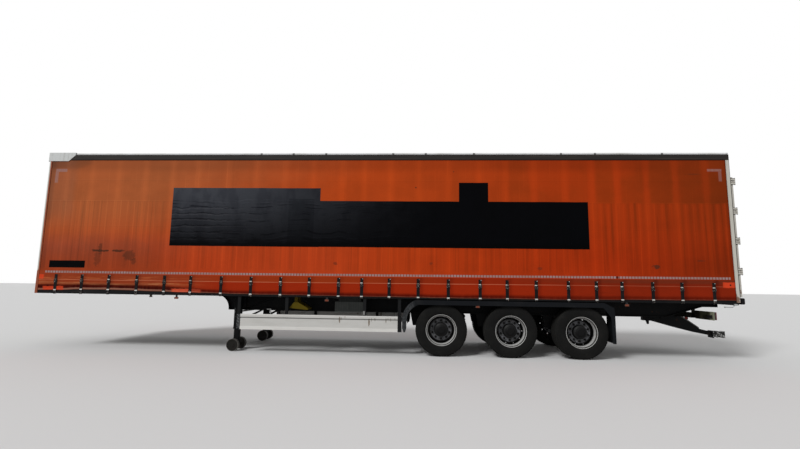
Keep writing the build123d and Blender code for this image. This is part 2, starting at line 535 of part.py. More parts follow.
def mud_face(drop):
    """Side view of the mudguard's outer edge, its two ends made longer downwards by the drop."""
    waist = (MUD_FRONT, MUD_WAIST)
    knee = (MUD_FRONT, MUD_KNEE)
    foot = (MUD_FRONT + (MUD_KNEE - MUD_FOOT + drop) * 0.37, MUD_FOOT - drop)
    crown = (MUD_FRONT + MUD_CROWN, MUD_TOP)
    edges = [Polyline(foot, knee, waist), ThreePointArc(waist, (MUD_FRONT + 55, MUD_TOP - 180), crown),
             Polyline(crown, (MUD_REAR - 193, MUD_TOP), (MUD_REAR - 13, MUD_TOP - 90),
                      (MUD_REAR, MUD_TOP - 270), (MUD_REAR, MUD_TAIL - drop), foot)]
    return make_face(Wire(Curve() + edges))


def mud_opening():
    """The inner edge of the lip: wide over the wheels, and narrow towards both ends."""
    waist = (MUD_FRONT + 86, MUD_WAIST)
    knee = (MUD_FRONT + 84, MUD_KNEE)
    foot = (MUD_FRONT + 4, MUD_FOOT - 200)
    crown = (MUD_FRONT + 320, MUD_TOP - MUD_LIP)
    edges = [Polyline(foot, knee, waist), ThreePointArc(waist, (MUD_FRONT + 165, MUD_TOP - 190), crown),
             Polyline(crown, (MUD_REAR - 210, MUD_TOP - MUD_LIP), (MUD_REAR - 74, MUD_TOP - 270),
                      (MUD_REAR - 50, MUD_TAIL - 200), foot)]
    return make_face(Wire(Curve() + edges))


outer_shape = mud_face(0)
sheet = outer_shape - offset(mud_face(200), amount=-MUD_SHEET)
lip = outer_shape - mud_opening()
mudguard = Pos(0, MUD_OUT, 0) * extrude(Plane.XZ * sheet, amount=MUD_OUT - MUD_IN)
mudguard += Pos(0, MUD_OUT, 0) * extrude(Plane.XZ * lip, amount=12)
for x in MEMBER_X:
    if MUD_FRONT + MUD_CROWN + 20 < x < MUD_REAR - 300:
        mudguard += block(x, x + 40, MUD_BRACKET_Y - 20, MUD_BRACKET_Y + 20, MUD_TOP - MUD_SHEET,
                          MEMBER_BOTTOM)
save("mudguards", *[across(mudguard, side) for _, side in SIDES])

# Axles with their trailing arms, brake callipers and chambers
EYE_Z = 600.0
EYE_RADIUS = 48.0
EYE_WIDTH = 90.0
ARM_LOW = TYRE_RADIUS + AXLE_TUBE
ARM_THICK = 45.0
BAG_BACK = 380.0
BAG_SEAT = 550.0
EYE_BOLT = 15.0
HUB_INNER = WHEEL_Y - 130.0
CALLIPER_IN = WHEEL_Y - 250.0
CALLIPER_OUT = WHEEL_Y - 160.0
CHAMBER_RADIUS = 75.0
SPINDLE_END = WHEEL_Y + 60.0


def axle(x):
    """Beam with spindles, an arm to each hanger, and a calliper with its chamber at each end."""
    body = rod_y(x, TYRE_RADIUS, AXLE_TUBE, -HUB_INNER + 10, HUB_INNER - 10)
    body += rod_y(x, TYRE_RADIUS, SPINDLE, -SPINDLE_END, SPINDLE_END)
    for side in (-1, 1):
        arm_points = [(x - HANGER_BACK, EYE_Z + 20), (x - HANGER_BACK, EYE_Z - 25), (x - 110, ARM_LOW - 2),
                      (x + 130, ARM_LOW - 2), (x + 240, BAG_SEAT - 30), (x + BAG_BACK + 90, BAG_SEAT - 30),
                      (x + BAG_BACK + 90, BAG_SEAT), (x + 260, BAG_SEAT), (x + 150, ARM_LOW + ARM_THICK),
                      (x - 110, ARM_LOW + ARM_THICK)]
        arm = side_plate(arm_points, side * RAIL_Y, EYE_WIDTH)
        arm += rod_y(x - HANGER_BACK, EYE_Z, EYE_RADIUS, side * RAIL_Y - EYE_WIDTH / 2,
                     side * RAIL_Y + EYE_WIDTH / 2)
        arm -= rod_y(x - HANGER_BACK, EYE_Z, EYE_BOLT + SEAT, side * RAIL_Y - EYE_WIDTH,
                     side * RAIL_Y + EYE_WIDTH)
        body += arm
        body += block(x - 85, x + 85, side * RAIL_Y - 55, side * RAIL_Y + 55, TYRE_RADIUS - 75, ARM_LOW + 10)
        calliper = block(x + 40, x + 210, CALLIPER_IN, CALLIPER_OUT, TYRE_RADIUS - 140, TYRE_RADIUS + 20)
        body += across(calliper, side)
        body += rod_y(x + 150, TYRE_RADIUS - 60, CHAMBER_RADIUS, side * (RAIL_Y + 60),
                      side * (CALLIPER_IN + 10))
    return body


save("axles", *[axle(x) for x in AXLE_X])

# Hanger brackets under the rails, each with the bolt of its spring eye
hangers = []
for x in AXLE_X:
    for side in (-1, 1):
        y = side * RAIL_Y
        eye = x - HANGER_BACK
        bracket = None
        for cheek in (-1, 1):
            points = [(eye - 110, RAIL_BOTTOM), (eye + 110, RAIL_BOTTOM), (eye + 60, EYE_Z - 60),
                      (eye - 60, EYE_Z - 60)]
            plate = side_plate(points, y + cheek * (EYE_WIDTH / 2 + 9), 10)
            bracket = plate if bracket is None else bracket + plate
        bracket += rod_y(eye, EYE_Z, EYE_BOLT, y - EYE_WIDTH / 2 - 20, y + EYE_WIDTH / 2 + 20)
        bracket += block(eye - 104, eye + 104, y - EYE_WIDTH / 2 - 14, y + EYE_WIDTH / 2 + 14,
                         RAIL_BOTTOM - 12, RAIL_BOTTOM)
        hangers.append(bracket)
save("hanger_brackets", *hangers)

# Air springs between the arms and the rails
BAG_HEIGHT = 240.0         # height the bag's profile is drawn at
# Piston, two folds of the bag and its top plate, as (radius, height) points
bag_profile = [(0, 0), (85, 0), (92, 70), (120, 90), (130, 120), (125, 140), (112, 152), (125, 164),
               (130, 190), (120, 215), (100, 225), (100, BAG_HEIGHT - SEAT), (0, BAG_HEIGHT - SEAT)]
bag_scale = (RAIL_BOTTOM - BAG_SEAT) / BAG_HEIGHT
bag_points = [(r, z * bag_scale) for r, z in bag_profile]
bag = revolve(Plane.XZ * make_face(Polyline(*bag_points, close=True)), Axis.Z)
save("air_springs", *[Pos(x + BAG_BACK, side * RAIL_Y, BAG_SEAT) * bag for x in AXLE_X for side in (-1, 1)])

# Air reservoirs between the rails, each in two bands hung from the cross members
TANK_RADIUS = 130.0
TANK_END = 60.0            # radius of the domed ends
TANK_Z = MEMBER_BOTTOM - TANK_RADIUS - 12
TANK_X = MEMBER_X[7] + MEMBER_WIDTH / 2 - 30
tanks = []
for y in (-330.0, 330.0):
    tank = rod_x(y, TANK_Z, TANK_RADIUS, TANK_X - 100, TANK_X - 100 + MEMBER_STEP + 200)
    tank = fillet(tank.edges().filter_by(GeomType.CIRCLE), TANK_END)
    for x in (MEMBER_X[7], MEMBER_X[8]):
        tank += rod_x(y, TANK_Z, TANK_RADIUS + 6, x, x + 40)
        tank += block(x, x + 40, y - 30, y + 30, TANK_Z, MEMBER_BOTTOM)
    tanks.append(tank)
save("air_tanks", *tanks)

# Storage box and wheel chocks on the left side
BOX_FRONT = MEMBER_X[7] + 62.0
BOX_LENGTH = 568.0
BOX_LOW = 805.0
BOX_HIGH = 1008.0
BOX_OUT = HALF_WIDTH - 75.0
BOX_IN = HALF_WIDTH - 370.0
BOX_BAND = 40.0            # width of the bands it hangs in
BOX_BEARER = 30.0
box_middle = BOX_FRONT + BOX_LENGTH / 2
box = block(BOX_FRONT, BOX_FRONT + BOX_LENGTH, -BOX_OUT, -BOX_IN, BOX_LOW, BOX_HIGH)
box -= block(box_middle - 4, box_middle + 4, -BOX_OUT, -BOX_OUT + 6, BOX_LOW + 10, BOX_HIGH - 10)
for y in (-BOX_OUT + 55, -BOX_IN - 45):
    y0, y1 = y - BOX_BAND / 2, y + BOX_BAND / 2
    box += block(MEMBER_X[7], MEMBER_X[8] + MEMBER_WIDTH, y0, y1, MEMBER_BOTTOM - BOX_BEARER, MEMBER_BOTTOM)
    box += block(BOX_FRONT + 60, BOX_FRONT + BOX_LENGTH - 60, y0, y1, BOX_HIGH, MEMBER_BOTTOM - BOX_BEARER)
save("storage_box", box)
CHOCK_X = MEMBER_X[6] - 43.0
CHOCK_THICK = 160.0
CHOCK_ARM_X = CHOCK_X + 90.0
CHOCK_ARM = 60.0
CHOCK_PLATE = 12.0
chocks = []
for y in (-HALF_WIDTH + 190, -HALF_WIDTH + 370):
    wedge = side_plate([(CHOCK_X, 868), (CHOCK_X + 85, 980), (CHOCK_X + 165, 985), (CHOCK_X + 370, 865),
                        (CHOCK_X + 370, 835)], y, CHOCK_THICK)
    wedge += block(CHOCK_ARM_X, CHOCK_ARM_X + CHOCK_ARM, y - 40, y + 40, 975, MEMBER_BOTTOM - CHOCK_PLATE)
    wedge += block(MEMBER_X[6], CHOCK_ARM_X + CHOCK_ARM, y - 40, y + 40, MEMBER_BOTTOM - CHOCK_PLATE,
                   MEMBER_BOTTOM)
    chocks.append(wedge)
save("wheel_chocks", *chocks)

# Side marker lamps under the raves
# Place of each lamp along the trailer, and the height of what it hangs from
LAMPS = ((FRONT_X + 2985, RAVE_BOTTOM), (FRONT_X + 6007, RAVE_BOTTOM), (AXLE_X[0] + 694, MUD_TOP - MUD_LIP),
         (REAR_X - 2101, RAVE_BOTTOM))
LAMP_DROP = 38.0
LAMP_LENGTH = 80.0
LAMP_HEIGHT = 35.0
lamps = []
for x, top in LAMPS:
    for side in (-1, 1):
        low = min(top, 1050.0) - LAMP_DROP
        lamp = block(x - LAMP_LENGTH / 2, x + LAMP_LENGTH / 2, MUD_OUT - 23, MUD_OUT - 9,
                     low, low + LAMP_HEIGHT)
        if top == RAVE_BOTTOM:
            lamp += block(x - 20, x + 20, MUD_OUT - 23, MUD_OUT - 17, low, top)
        else:
            lamp += block(x - 20, x + 20, MUD_OUT - 12, MUD_OUT - 9, low, top)
        lamps.append(across(lamp, side))
save("side_marker_lamps", *lamps)

# Rear underrun beam: a square tube in two halves, each with a plate at its end for the lamps
BEAM_REAR = REAR_X - 485.0
TUBE = 100.0
TOW_HALF = 53.0            # half the width of the towing frame between the beam's halves
TOW_BOLT = 24.0
TOW_BOLT_HEAD = 14.0
TIE_X = REAR_X - 575.0
TIE_Z = 775.0
BEAM_LOW = 785.0
BEAM_HIGH = BEAM_LOW + TUBE
BEAM_WALL = 5.0
LAMP_PLATE = 12.0
PLATE_IN = 600.0
PLATE_OUT = HALF_WIDTH - 85.0
TUBE_END = 640.0
LAMP_OUT = HALF_WIDTH - 90.0
LAMP_IN = HALF_WIDTH - 405.0
tube_rear = BEAM_REAR - LAMP_PLATE
half_beam = block(tube_rear - TUBE, tube_rear, TOW_HALF, TUBE_END, BEAM_LOW, BEAM_HIGH)
half_beam -= block(tube_rear - TUBE + BEAM_WALL, tube_rear - BEAM_WALL, TOW_HALF, TUBE_END,
                   BEAM_LOW + BEAM_WALL, BEAM_HIGH - BEAM_WALL)
half_beam -= rod_y(TIE_X, TIE_Z, TOW_BOLT + SEAT, 0, TOW_HALF + TOW_BOLT_HEAD + SEAT)
lamp_plate = block(tube_rear, BEAM_REAR, PLATE_IN, PLATE_OUT, 772, 930)
lamp_plate -= block(tube_rear, BEAM_REAR, PLATE_OUT - 240, PLATE_OUT - 40, 795, 865)
hanger = [(tube_rear - 80, BEAM_HIGH - BEAM_WALL), (tube_rear - 15, BEAM_HIGH - BEAM_WALL),
          (tube_rear - 15, rail_low(tube_rear - 15)), (tube_rear - 80, rail_low(tube_rear - 80))]
half_beam += lamp_plate + side_plate(hanger, TUBE_END - 20, 16)
save("underrun_beam", *[across(half_beam, side) for _, side in SIDES])
lamp = block(BEAM_REAR, BEAM_REAR + 50, LAMP_IN, LAMP_OUT, 780, 925)
lamp = fillet(lamp.edges().group_by(Axis.X)[-1], 10)
save("rear_lamps", *[across(lamp, side) for _, side in SIDES])

# Towing frame for a second trailer: a box girder hung from two beams between the rails
TOW_CHEEK = 14.0
TOW_SKIN = 8.0
PIVOT_X = REAR_X - 1173.0
PIVOT_Z = 755.0
COUPLING_BACK = REAR_X + 135.0
COUPLING_Z = 390.0
girder_side = [(PIVOT_X - 90, 900), (TIE_X - 60, 900), (TIE_X - 60, 1010), (TIE_X + 60, 1010),
               (TIE_X + 60, 785), (TIE_X + 469, 519), (COUPLING_BACK, 465), (COUPLING_BACK, 385),
               (TIE_X + 362, 448), (TIE_X - 41, 546), (PIVOT_X + 91, 671), (PIVOT_X - 95, 678)]
girder_hole = [(PIVOT_X + 183, 860), (PIVOT_X + 308, 860), (PIVOT_X + 268, 699)]
girder_face = make_face(Polyline(*girder_side, close=True))
towing = extrude(Plane.XZ * girder_face, amount=TOW_HALF, both=True)
towing -= extrude(Plane.XZ * offset(girder_face, amount=-TOW_SKIN), amount=TOW_HALF - TOW_CHEEK, both=True)
towing -= side_plate(girder_hole, 0, 4 * TOW_HALF)
towing += block(PIVOT_X - 110, PIVOT_X + 110, -RAIL_Y + WEB / 2, RAIL_Y - WEB / 2, 870, 970)
towing += block(TIE_X - 60, TIE_X + 60, -RAIL_Y + WEB / 2, RAIL_Y - WEB / 2, 1000, 1090)
for x, z in ((PIVOT_X, PIVOT_Z), (TIE_X, TIE_Z)):
    towing += rod_y(x, z, TOW_BOLT, -TOW_HALF - TOW_BOLT_HEAD, TOW_HALF + TOW_BOLT_HEAD)
tow_tab = [(PIVOT_X - 22, 690), (PIVOT_X + 48, 690), (PIVOT_X + 44, 602), (PIVOT_X + 8, 598)]
towing += side_plate(tow_tab, 0, 24)
towing += block(COUPLING_BACK - 20, COUPLING_BACK, -72, 72, COUPLING_Z - 45, COUPLING_Z + 95)
save("towing_frame", towing)

# Drawbar coupling: flange, body, a flared mouth for the eye, and the pin that drops through it
COUPLING_END = REAR_X + COUPLING_REACH
MOUTH_Z = COUPLING_Z + 20.0
MOUTH_BACK = COUPLING_BACK + 105.0
MOUTH_WALL = 14.0
MOUTH_WIDTH = 150.0
MOUTH_HEIGHT = 140.0
THROAT_WIDTH = 110.0
THROAT_HEIGHT = 100.0


def funnel(inset, x0, x1):
    """The mouth's flare between two places, drawn in all round by the inset."""
    near = Pos(x0, 0, MOUTH_Z) * (Plane.YZ * Rectangle(THROAT_WIDTH - 2 * inset, THROAT_HEIGHT - 2 * inset))
    far = Pos(x1, 0, MOUTH_Z) * (Plane.YZ * Rectangle(MOUTH_WIDTH - 2 * inset, MOUTH_HEIGHT - 2 * inset))
    return loft([near, far])


coupling = block(COUPLING_BACK, COUPLING_BACK + 20, -80, 80, COUPLING_Z - 50, COUPLING_Z + 100)
coupling += rod_x(0, MOUTH_Z, 44, COUPLING_BACK + 20, COUPLING_BACK + 70)
coupling += block(COUPLING_BACK + 55, MOUTH_BACK, -THROAT_WIDTH / 2, THROAT_WIDTH / 2,
                  MOUTH_Z - THROAT_HEIGHT / 2, MOUTH_Z + THROAT_HEIGHT / 2)
coupling += funnel(0, MOUTH_BACK, COUPLING_END)
coupling -= funnel(MOUTH_WALL, MOUTH_BACK + 10, COUPLING_END)
coupling += rod_z(MOUTH_BACK + 22, 0, 20, MOUTH_Z - THROAT_HEIGHT / 2 - 14, MOUTH_Z + THROAT_HEIGHT / 2 + 20)
coupling += rod_z(MOUTH_BACK - 10, 0, 34, MOUTH_Z + THROAT_HEIGHT / 2 - 4, MOUTH_Z + THROAT_HEIGHT / 2 + 24)
coupling += rod_y(MOUTH_BACK - 28, MOUTH_Z + 62, 8, -130, 0)
save("drawbar_coupling", coupling)

# Wheels: tyre and rim at each end of each axle
tyre_profile = [(286, -149), (303, -149), (312, -172), (400, -TYRE_WIDTH / 2), (470, -182),
                (TYRE_RADIUS - 4, -165), (TYRE_RADIUS, -140), (TYRE_RADIUS, 140), (TYRE_RADIUS - 4, 165),
                (470, 182), (400, TYRE_WIDTH / 2), (312, 172), (303, 149), (286, 149)]
# Rim with its dished disc, brake rotor and hub, as (radius, outward distance) points
rim_profile = [(SPINDLE + SEAT, -130), (110, -130), (110, -108), (215, -108), (215, -63), (110, -63),
               (110, -22), (236, -22), (258, -58), (258, -66), (276, -104), (280, -156), (300, -160),
               (300, -149.3), (285.7, -149.3), (285.7, -100), (268, -62), (268, 82), (285.7, 112),
               (285.7, 149.3), (300, 149.3), (300, 160), (284, 156), (280, 140), (275, 132), (275, 108),
               (258, 74), (258, 38), (254, 34), (254, 24), (258, 20), (258, -38), (240, -16), (228, -6),
               (132, -6), (132, 50), (126, 66), (96, 84), (60, 96), (0, 96), (0, 70), (SPINDLE + SEAT, 70)]
NUT_CIRCLE = 176.0
NUT_COUNT = 10
HAND_HOLE_CIRCLE = 242.0
HAND_HOLE = 11.0
for row, x in zip(("front", "middle", "rear"), AXLE_X):
    for name, side in SIDES:
        save(f"tyre_{row}_{name}", turned(tyre_profile, x, side * WHEEL_Y, TYRE_RADIUS, side))
        rim = turned(rim_profile, x, side * WHEEL_Y, TYRE_RADIUS, side)
        for place in range(NUT_COUNT):
            turn = radians(360 / NUT_COUNT * (place + 0.5))
            nut = Pos(x + NUT_CIRCLE * cos(turn), side * (WHEEL_Y + 8), TYRE_RADIUS + NUT_CIRCLE * sin(turn))
            rim += nut * Rot(90, 0, 0) * extrude(RegularPolygon(18, 6), amount=16, both=True)
            turn = radians(360 / NUT_COUNT * place)
            hole_x = x + HAND_HOLE_CIRCLE * cos(turn)
            hole_z = TYRE_RADIUS + HAND_HOLE_CIRCLE * sin(turn)
            rim -= rod_y(hole_x, hole_z, HAND_HOLE, side * (WHEEL_Y - 60), side * (WHEEL_Y + 10))
        save(f"rim_{row}_{name}", rim)
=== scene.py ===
"""Looks of a parked curtain-sided semi trailer, section by section in the order that it is put together.

Metres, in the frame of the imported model: X runs from the kingpin end to the doors, Y from the left side
to the right, and Z up from the ground.
"""
import functools
import math

import bpy
import numpy as np
from mathutils import Matrix, Vector


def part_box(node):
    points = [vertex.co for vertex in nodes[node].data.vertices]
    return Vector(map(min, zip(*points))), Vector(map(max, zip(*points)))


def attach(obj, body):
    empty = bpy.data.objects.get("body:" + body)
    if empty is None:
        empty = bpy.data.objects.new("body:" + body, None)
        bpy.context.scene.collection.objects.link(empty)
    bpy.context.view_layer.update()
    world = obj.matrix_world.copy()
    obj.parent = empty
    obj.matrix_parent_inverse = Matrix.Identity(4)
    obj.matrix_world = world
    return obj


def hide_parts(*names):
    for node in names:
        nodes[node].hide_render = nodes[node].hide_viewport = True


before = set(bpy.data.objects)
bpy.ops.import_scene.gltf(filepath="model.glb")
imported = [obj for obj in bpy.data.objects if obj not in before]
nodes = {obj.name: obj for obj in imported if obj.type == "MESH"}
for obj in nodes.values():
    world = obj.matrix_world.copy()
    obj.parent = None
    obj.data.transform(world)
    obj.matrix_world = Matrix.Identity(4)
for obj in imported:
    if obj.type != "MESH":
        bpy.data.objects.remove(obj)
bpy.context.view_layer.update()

# The camera
# It stands on the left side, about 9 m from the curtain, looks slightly up and to the left,
# and has a wide lens.
CAMERA_PLACE = Vector((0.7893, -10.1432, 1.3498))
CAMERA_YAW, CAMERA_PITCH, CAMERA_ROLL = -0.0534, 0.1324, 0.0144
CAMERA_LENS = 20.417
FILM_WIDTH = 36.0


def look_matrix(yaw, pitch, roll):
    """Columns right, up and back of a camera that turns by yaw from +Y, tips up by pitch, then rolls."""
    level = Vector((math.sin(yaw), math.cos(yaw), 0))
    right = Vector((math.cos(yaw), -math.sin(yaw), 0))
    ahead = level * math.cos(pitch) + Vector((0, 0, 1)) * math.sin(pitch)
    up = right.cross(ahead)
    turned_right = right * math.cos(roll) + up * math.sin(roll)
    turned_up = up * math.cos(roll) - right * math.sin(roll)
    return Matrix((turned_right, turned_up, -ahead)).transposed()


camera_data = bpy.data.cameras.new("camera")
camera_data.lens = CAMERA_LENS
camera_data.sensor_width = FILM_WIDTH
camera_data.clip_end = 400
camera = bpy.data.objects.new("camera", camera_data)
bpy.context.scene.collection.objects.link(camera)
turned = look_matrix(CAMERA_YAW, CAMERA_PITCH, CAMERA_ROLL)
camera.matrix_world = Matrix.Translation(CAMERA_PLACE) @ turned.to_4x4()
bpy.context.scene.camera = camera

# Chassis
# Welded rails, cross members and brackets, all in one coat of black paint that has gone dull, with road
# dust on top of it and rust at the edges.
BLACK_PAINT = (0.0042, 0.0045, 0.0050)
ROAD_DUST = (0.034, 0.030, 0.025)
RUST = (0.115, 0.042, 0.016)


class Wire:
    """One socket of a material's node tree. Operators between wires and numbers add the Math nodes that
    work them out, and make() adds any other node."""

    def __init__(self, tree, socket=None):
        self.tree = tree
        self.socket = socket

    def make(self, kind, settings=None, values=None, out=0):
        """Adds a node, gives it its settings, then the values or links of its inputs; returns one output."""
        node = self.tree.nodes.new(kind)
        for name, setting in (settings or {}).items():
            setattr(node, name, setting)
        for name, value in (values or {}).items():
            if isinstance(value, Wire):
                self.tree.links.new(value.socket, node.inputs[name])
            else:
                node.inputs[name].default_value = value
        return Wire(self.tree, node.outputs[out])

    def maths(self, operation, *values):
        return self.make("ShaderNodeMath", {"operation": operation}, dict(enumerate(values)))

    def __add__(self, other):
        return self.maths("ADD", self, other)

    __radd__ = __add__

    def __sub__(self, other):
        return self.maths("SUBTRACT", self, other)

    def __rsub__(self, other):
        return self.maths("SUBTRACT", other, self)

    def __mul__(self, other):
        return self.maths("MULTIPLY", self, other)

    def __truediv__(self, other):
        return self.maths("DIVIDE", self, other)

    def __abs__(self):
        return self.maths("ABSOLUTE", self)

    def least(self, other):
        return self.maths("MINIMUM", self, other)

    def most(self, other):
        return self.maths("MAXIMUM", self, other)

    def root(self):
        return self.maths("SQRT", self)


def opaque(colour):
    """A colour with its alpha of 1, unless it comes from a wire."""
    return colour if isinstance(colour, Wire) else (*colour, 1.0)


class Finish:
    """A node material with one Principled shader, whose patterns lie on Object coordinates. Its coat is the
    colour so far: cover() and shade() work on it, and done() feeds it to the shader."""

    def __init__(self, name, coat):
        self.material = bpy.data.materials.new(name)
        self.material.use_nodes = True
        self.tree = self.material.node_tree
        self.shader = self.tree.nodes["Principled BSDF"]
        self.make = Wire(self.tree).make
        self.coat = coat
        self.place = self.make("ShaderNodeTexCoord", out="Object")
        parts = self.tree.nodes.new("ShaderNodeSeparateXYZ")
        self.tree.links.new(self.place.socket, parts.inputs[0])
        self.x, self.y, self.z = (Wire(self.tree, parts.outputs[i]) for i in range(3))

    def grain(self, size, detail=3.0, roughness=0.5, shift=0.0):
        """Noise from 0 to 1 whose features are about as large as size, metres along X, Y and Z."""
        spread = self.make("ShaderNodeVectorMath", {"operation": "MULTIPLY"},
                           {0: self.place, 1: tuple(1 / s for s in size)})
        moved = self.make("ShaderNodeVectorMath", {"operation": "ADD"},
                          {0: spread, 1: (shift, shift * 0.7, shift * 1.3)})
        return self.make("ShaderNodeTexNoise", {}, {"Vector": moved, "Scale": 1.0, "Detail": detail,
                                                    "Roughness": roughness})

    def rise(self, value, low, high):
        """0 below low, 1 above high, and smooth between; the two may be swapped."""
        return self.make("ShaderNodeMapRange", {"interpolation_type": "SMOOTHSTEP"},
                         {"Value": value, "From Min": low, "From Max": high})

    def within(self, value, low, high, soft):
        """1 between low and high, falling to 0 over a soft edge on both sides."""
        return self.rise(value, low - soft, low + soft) * self.rise(value, high + soft, high - soft)

    def zigzag(self, value, pitch):
        """0 at each whole pitch of the value, and half the pitch midway between them."""
        return self.make("ShaderNodeMath", {"operation": "PINGPONG"}, {0: value, 1: pitch / 2})

    def carried(self, name):
        """The values that a mesh carries under that name."""
        return self.make("ShaderNodeAttribute", {"attribute_name": name}, out="Fac")

    def blend(self, below, above, share, kind="MIX"):
        """The colour below, covered by the colour above where share is 1."""
        return self.make("ShaderNodeMix", {"data_type": "RGBA", "blend_type": kind},
                         {0: share, 6: opaque(below), 7: opaque(above)}, out=2)

    def tint(self, colour, by, share):
        """The colour times another one, where share is 1."""
        return self.blend(colour, by, share, "MULTIPLY")

    def cover(self, above, share):
        """Puts a colour over the coat where share is 1."""
        self.coat = self.blend(self.coat, above, share)

    def shade(self, by, share):
        """Multiplies the coat by a colour where share is 1."""
        self.coat = self.tint(self.coat, by, share)

    def spot(self, middle_x, middle_z, reach_x, reach_z, ragged=0.0):
        """1 inside an upright ellipse, with an edge that is soft, and ragged where asked for."""
        across, up = (self.x - middle_x) / reach_x, (self.z - middle_z) / reach_z
        return self.rise(across * across + up * up + ragged, 1.25, 0.55)

    def upward(self):
        """1 on faces that look up, 0 on upright and hanging ones."""
        normal = self.make("ShaderNodeNewGeometry", out="Normal")
        parts = self.make("ShaderNodeSeparateXYZ", {}, {0: normal}, out=2)
        return self.rise(parts, 0.3, 0.9)

    def done(self, rough, height=None, depth=0.001, metallic=None, gloss=0.12):
        """Feeds the shader: the coat and a roughness, a bump of that depth in metres, and how strongly the
        surface mirrors."""
        for name, value in (("Base Color", opaque(self.coat)), ("Roughness", rough), ("Metallic", metallic)):
            if isinstance(value, Wire):
                self.tree.links.new(value.socket, self.shader.inputs[name])
            elif value is not None:
                self.shader.inputs[name].default_value = value
        if height is not None:
            bump = self.make("ShaderNodeBump", {},
                             {"Strength": 1.0, "Distance": depth, "Height": height})
            self.tree.links.new(bump.socket, self.shader.inputs["Normal"])
        self.shader.inputs["Specular IOR Level"].default_value = gloss
        return self.material


def chassis_finish(name, paint, dusty=0.40, rusty=0.35):
    """Dull paint: dust gathers on upward faces and in patches, rust breaks through in small spots."""
    look = Finish(name, paint)
    cloud = look.grain((0.5, 0.5, 0.35), 5)
    fine = look.grain((0.02, 0.02, 0.03), 3, 0.6)
    dust = look.rise(cloud + look.upward() * 0.5 + fine * 0.25, 0.55, 1.25) * dusty
    spots = look.rise(look.grain((0.09, 0.09, 0.12), 6, 0.7, 3.1), 0.62, 0.74) * rusty
    look.cover(ROAD_DUST, dust)
    look.cover(RUST, spots)
    return look.done(0.5 + dust * 0.35 + fine * 0.12, fine, 0.0006, gloss=0.08)


def dress(finish, *names):
    """Gives CAD nodes their finish, on the object's own slots, so that their meshes stay as they are."""
    for name in names:
        for place in nodes[name].material_slots:
            place.link = "OBJECT"
            place.material = finish


dress(chassis_finish("chassis_paint", BLACK_PAINT), "main_rails", "cross_members", "side_raves", "rear_sill",
      "axles", "hanger_brackets", "air_tanks", "towing_frame")

# Load floor
# Phenolic faced plywood laid on the cross members, scuffed and dusty where pallets slid.
FLOOR_BROWN = (0.075, 0.045, 0.028)
FLOOR_WORN = (0.17, 0.13, 0.095)
look = Finish("floor_board", FLOOR_BROWN)
board = look.make("ShaderNodeTexBrick", {"offset": 0.0, "squash": 1.0},
                  {"Vector": look.place, "Scale": 1.0, "Brick Width": 2.4, "Row Height": 0.6,
                   "Mortar Size": 0.003}, out="Fac")
scuff = look.rise(look.grain((1.6, 0.05, 1.0), 6, 0.65), 0.45, 0.7)
look.cover(FLOOR_WORN, scuff)
look.cover((0.01, 0.008, 0.006), board)
dress(look.done(0.55 + scuff * 0.25, scuff - board, 0.0008), "floor")

# Front wall, corner posts, header and front cap
# Painted steel and moulded plastic in an aged, slightly yellow white, streaked by rain and rusty at its
# lowest edges.
OLD_WHITE = (0.52, 0.515, 0.475)
WHITE_GRIME = (0.20, 0.185, 0.155)
HINGE_FIRST, HINGE_STEP = 1.690, 0.575


def white_finish(name, paint, rust_top, hinge_x=None, seam=None, wound_x=None):
    """Aged white paint: grime in upright streaks, and rust in blotches that end at the height rust_top.
    Behind hinge_x the hinges' ends and joints are dark with rust. A dark seam lies between the two X of seam.
    Behind wound_x the outer sides have the curtain's orange, whose front edge is wound on a pole there."""
    look = Finish(name, paint)
    streak = look.grain((0.035, 0.035, 0.9), 4, 0.6)
    blotch = look.grain((0.12, 0.12, 0.16), 5, 0.65, 1.7)
    grime = look.rise(streak * 0.7 + blotch * 0.5, 0.55, 0.95) * 0.55
    low = look.rise(look.z, rust_top + 0.25, rust_top - 0.25)
    rust = look.rise(blotch + low * 0.20, 0.64, 0.72)
    look.cover(WHITE_GRIME, grime)
    near_hinges = rust if hinge_x is None else rust * look.rise(abs(look.y), 1.12, 1.22)
    look.cover(RUST, near_hinges * 0.85)
    if hinge_x is not None:
        from_hinge = look.zigzag(look.z - HINGE_FIRST, HINGE_STEP)
        edge = look.rise(from_hinge, 0.052, 0.056) + look.within(from_hinge, 0.022, 0.030, 0.001)
        edge = edge * look.rise(look.x, hinge_x, hinge_x + 0.001)
        look.cover((0.022, 0.014, 0.010), edge.least(1.0))
    if seam is not None:
        look.cover((0.035, 0.030, 0.026), look.within(look.x, *seam, 0.0005))
    if wound_x is not None:
        outside = look.rise(abs(look.y), 1.262, 1.264) * look.rise(look.z, 3.86, 3.85)
        wound = look.rise(look.x + look.rise(look.z, 1.58, 1.42) * 0.1, wound_x - 0.002, wound_x + 0.002)
        wound_colour = look.blend((0.20, 0.040, 0.012), (0.27, 0.060, 0.018), streak)
        look.cover(wound_colour, outside * wound)
        # A painted shadow line along the curtain's front edge, where it meets the wall
        front_edge_shadow = look.within(look.x, wound_x - 0.003, wound_x, 0.002)
        look.cover((0.05, 0.02, 0.012), outside * front_edge_shadow)
    return look.done(0.38 + grime * 0.35 + rust * 0.3, blotch, 0.0008, gloss=0.3)


dress(white_finish("white_paint", OLD_WHITE, 1.22), "rear_header")
dress(white_finish("wall_white", OLD_WHITE, 1.22, wound_x=-7.030), "front_wall")
dress(white_finish("post_white", (0.45, 0.435, 0.385), 1.32, 6.6805, (6.674, 6.681)), "rear_posts")
dress(white_finish("cap_white", (0.50, 0.515, 0.51), 0.0), "roof_front_cap")
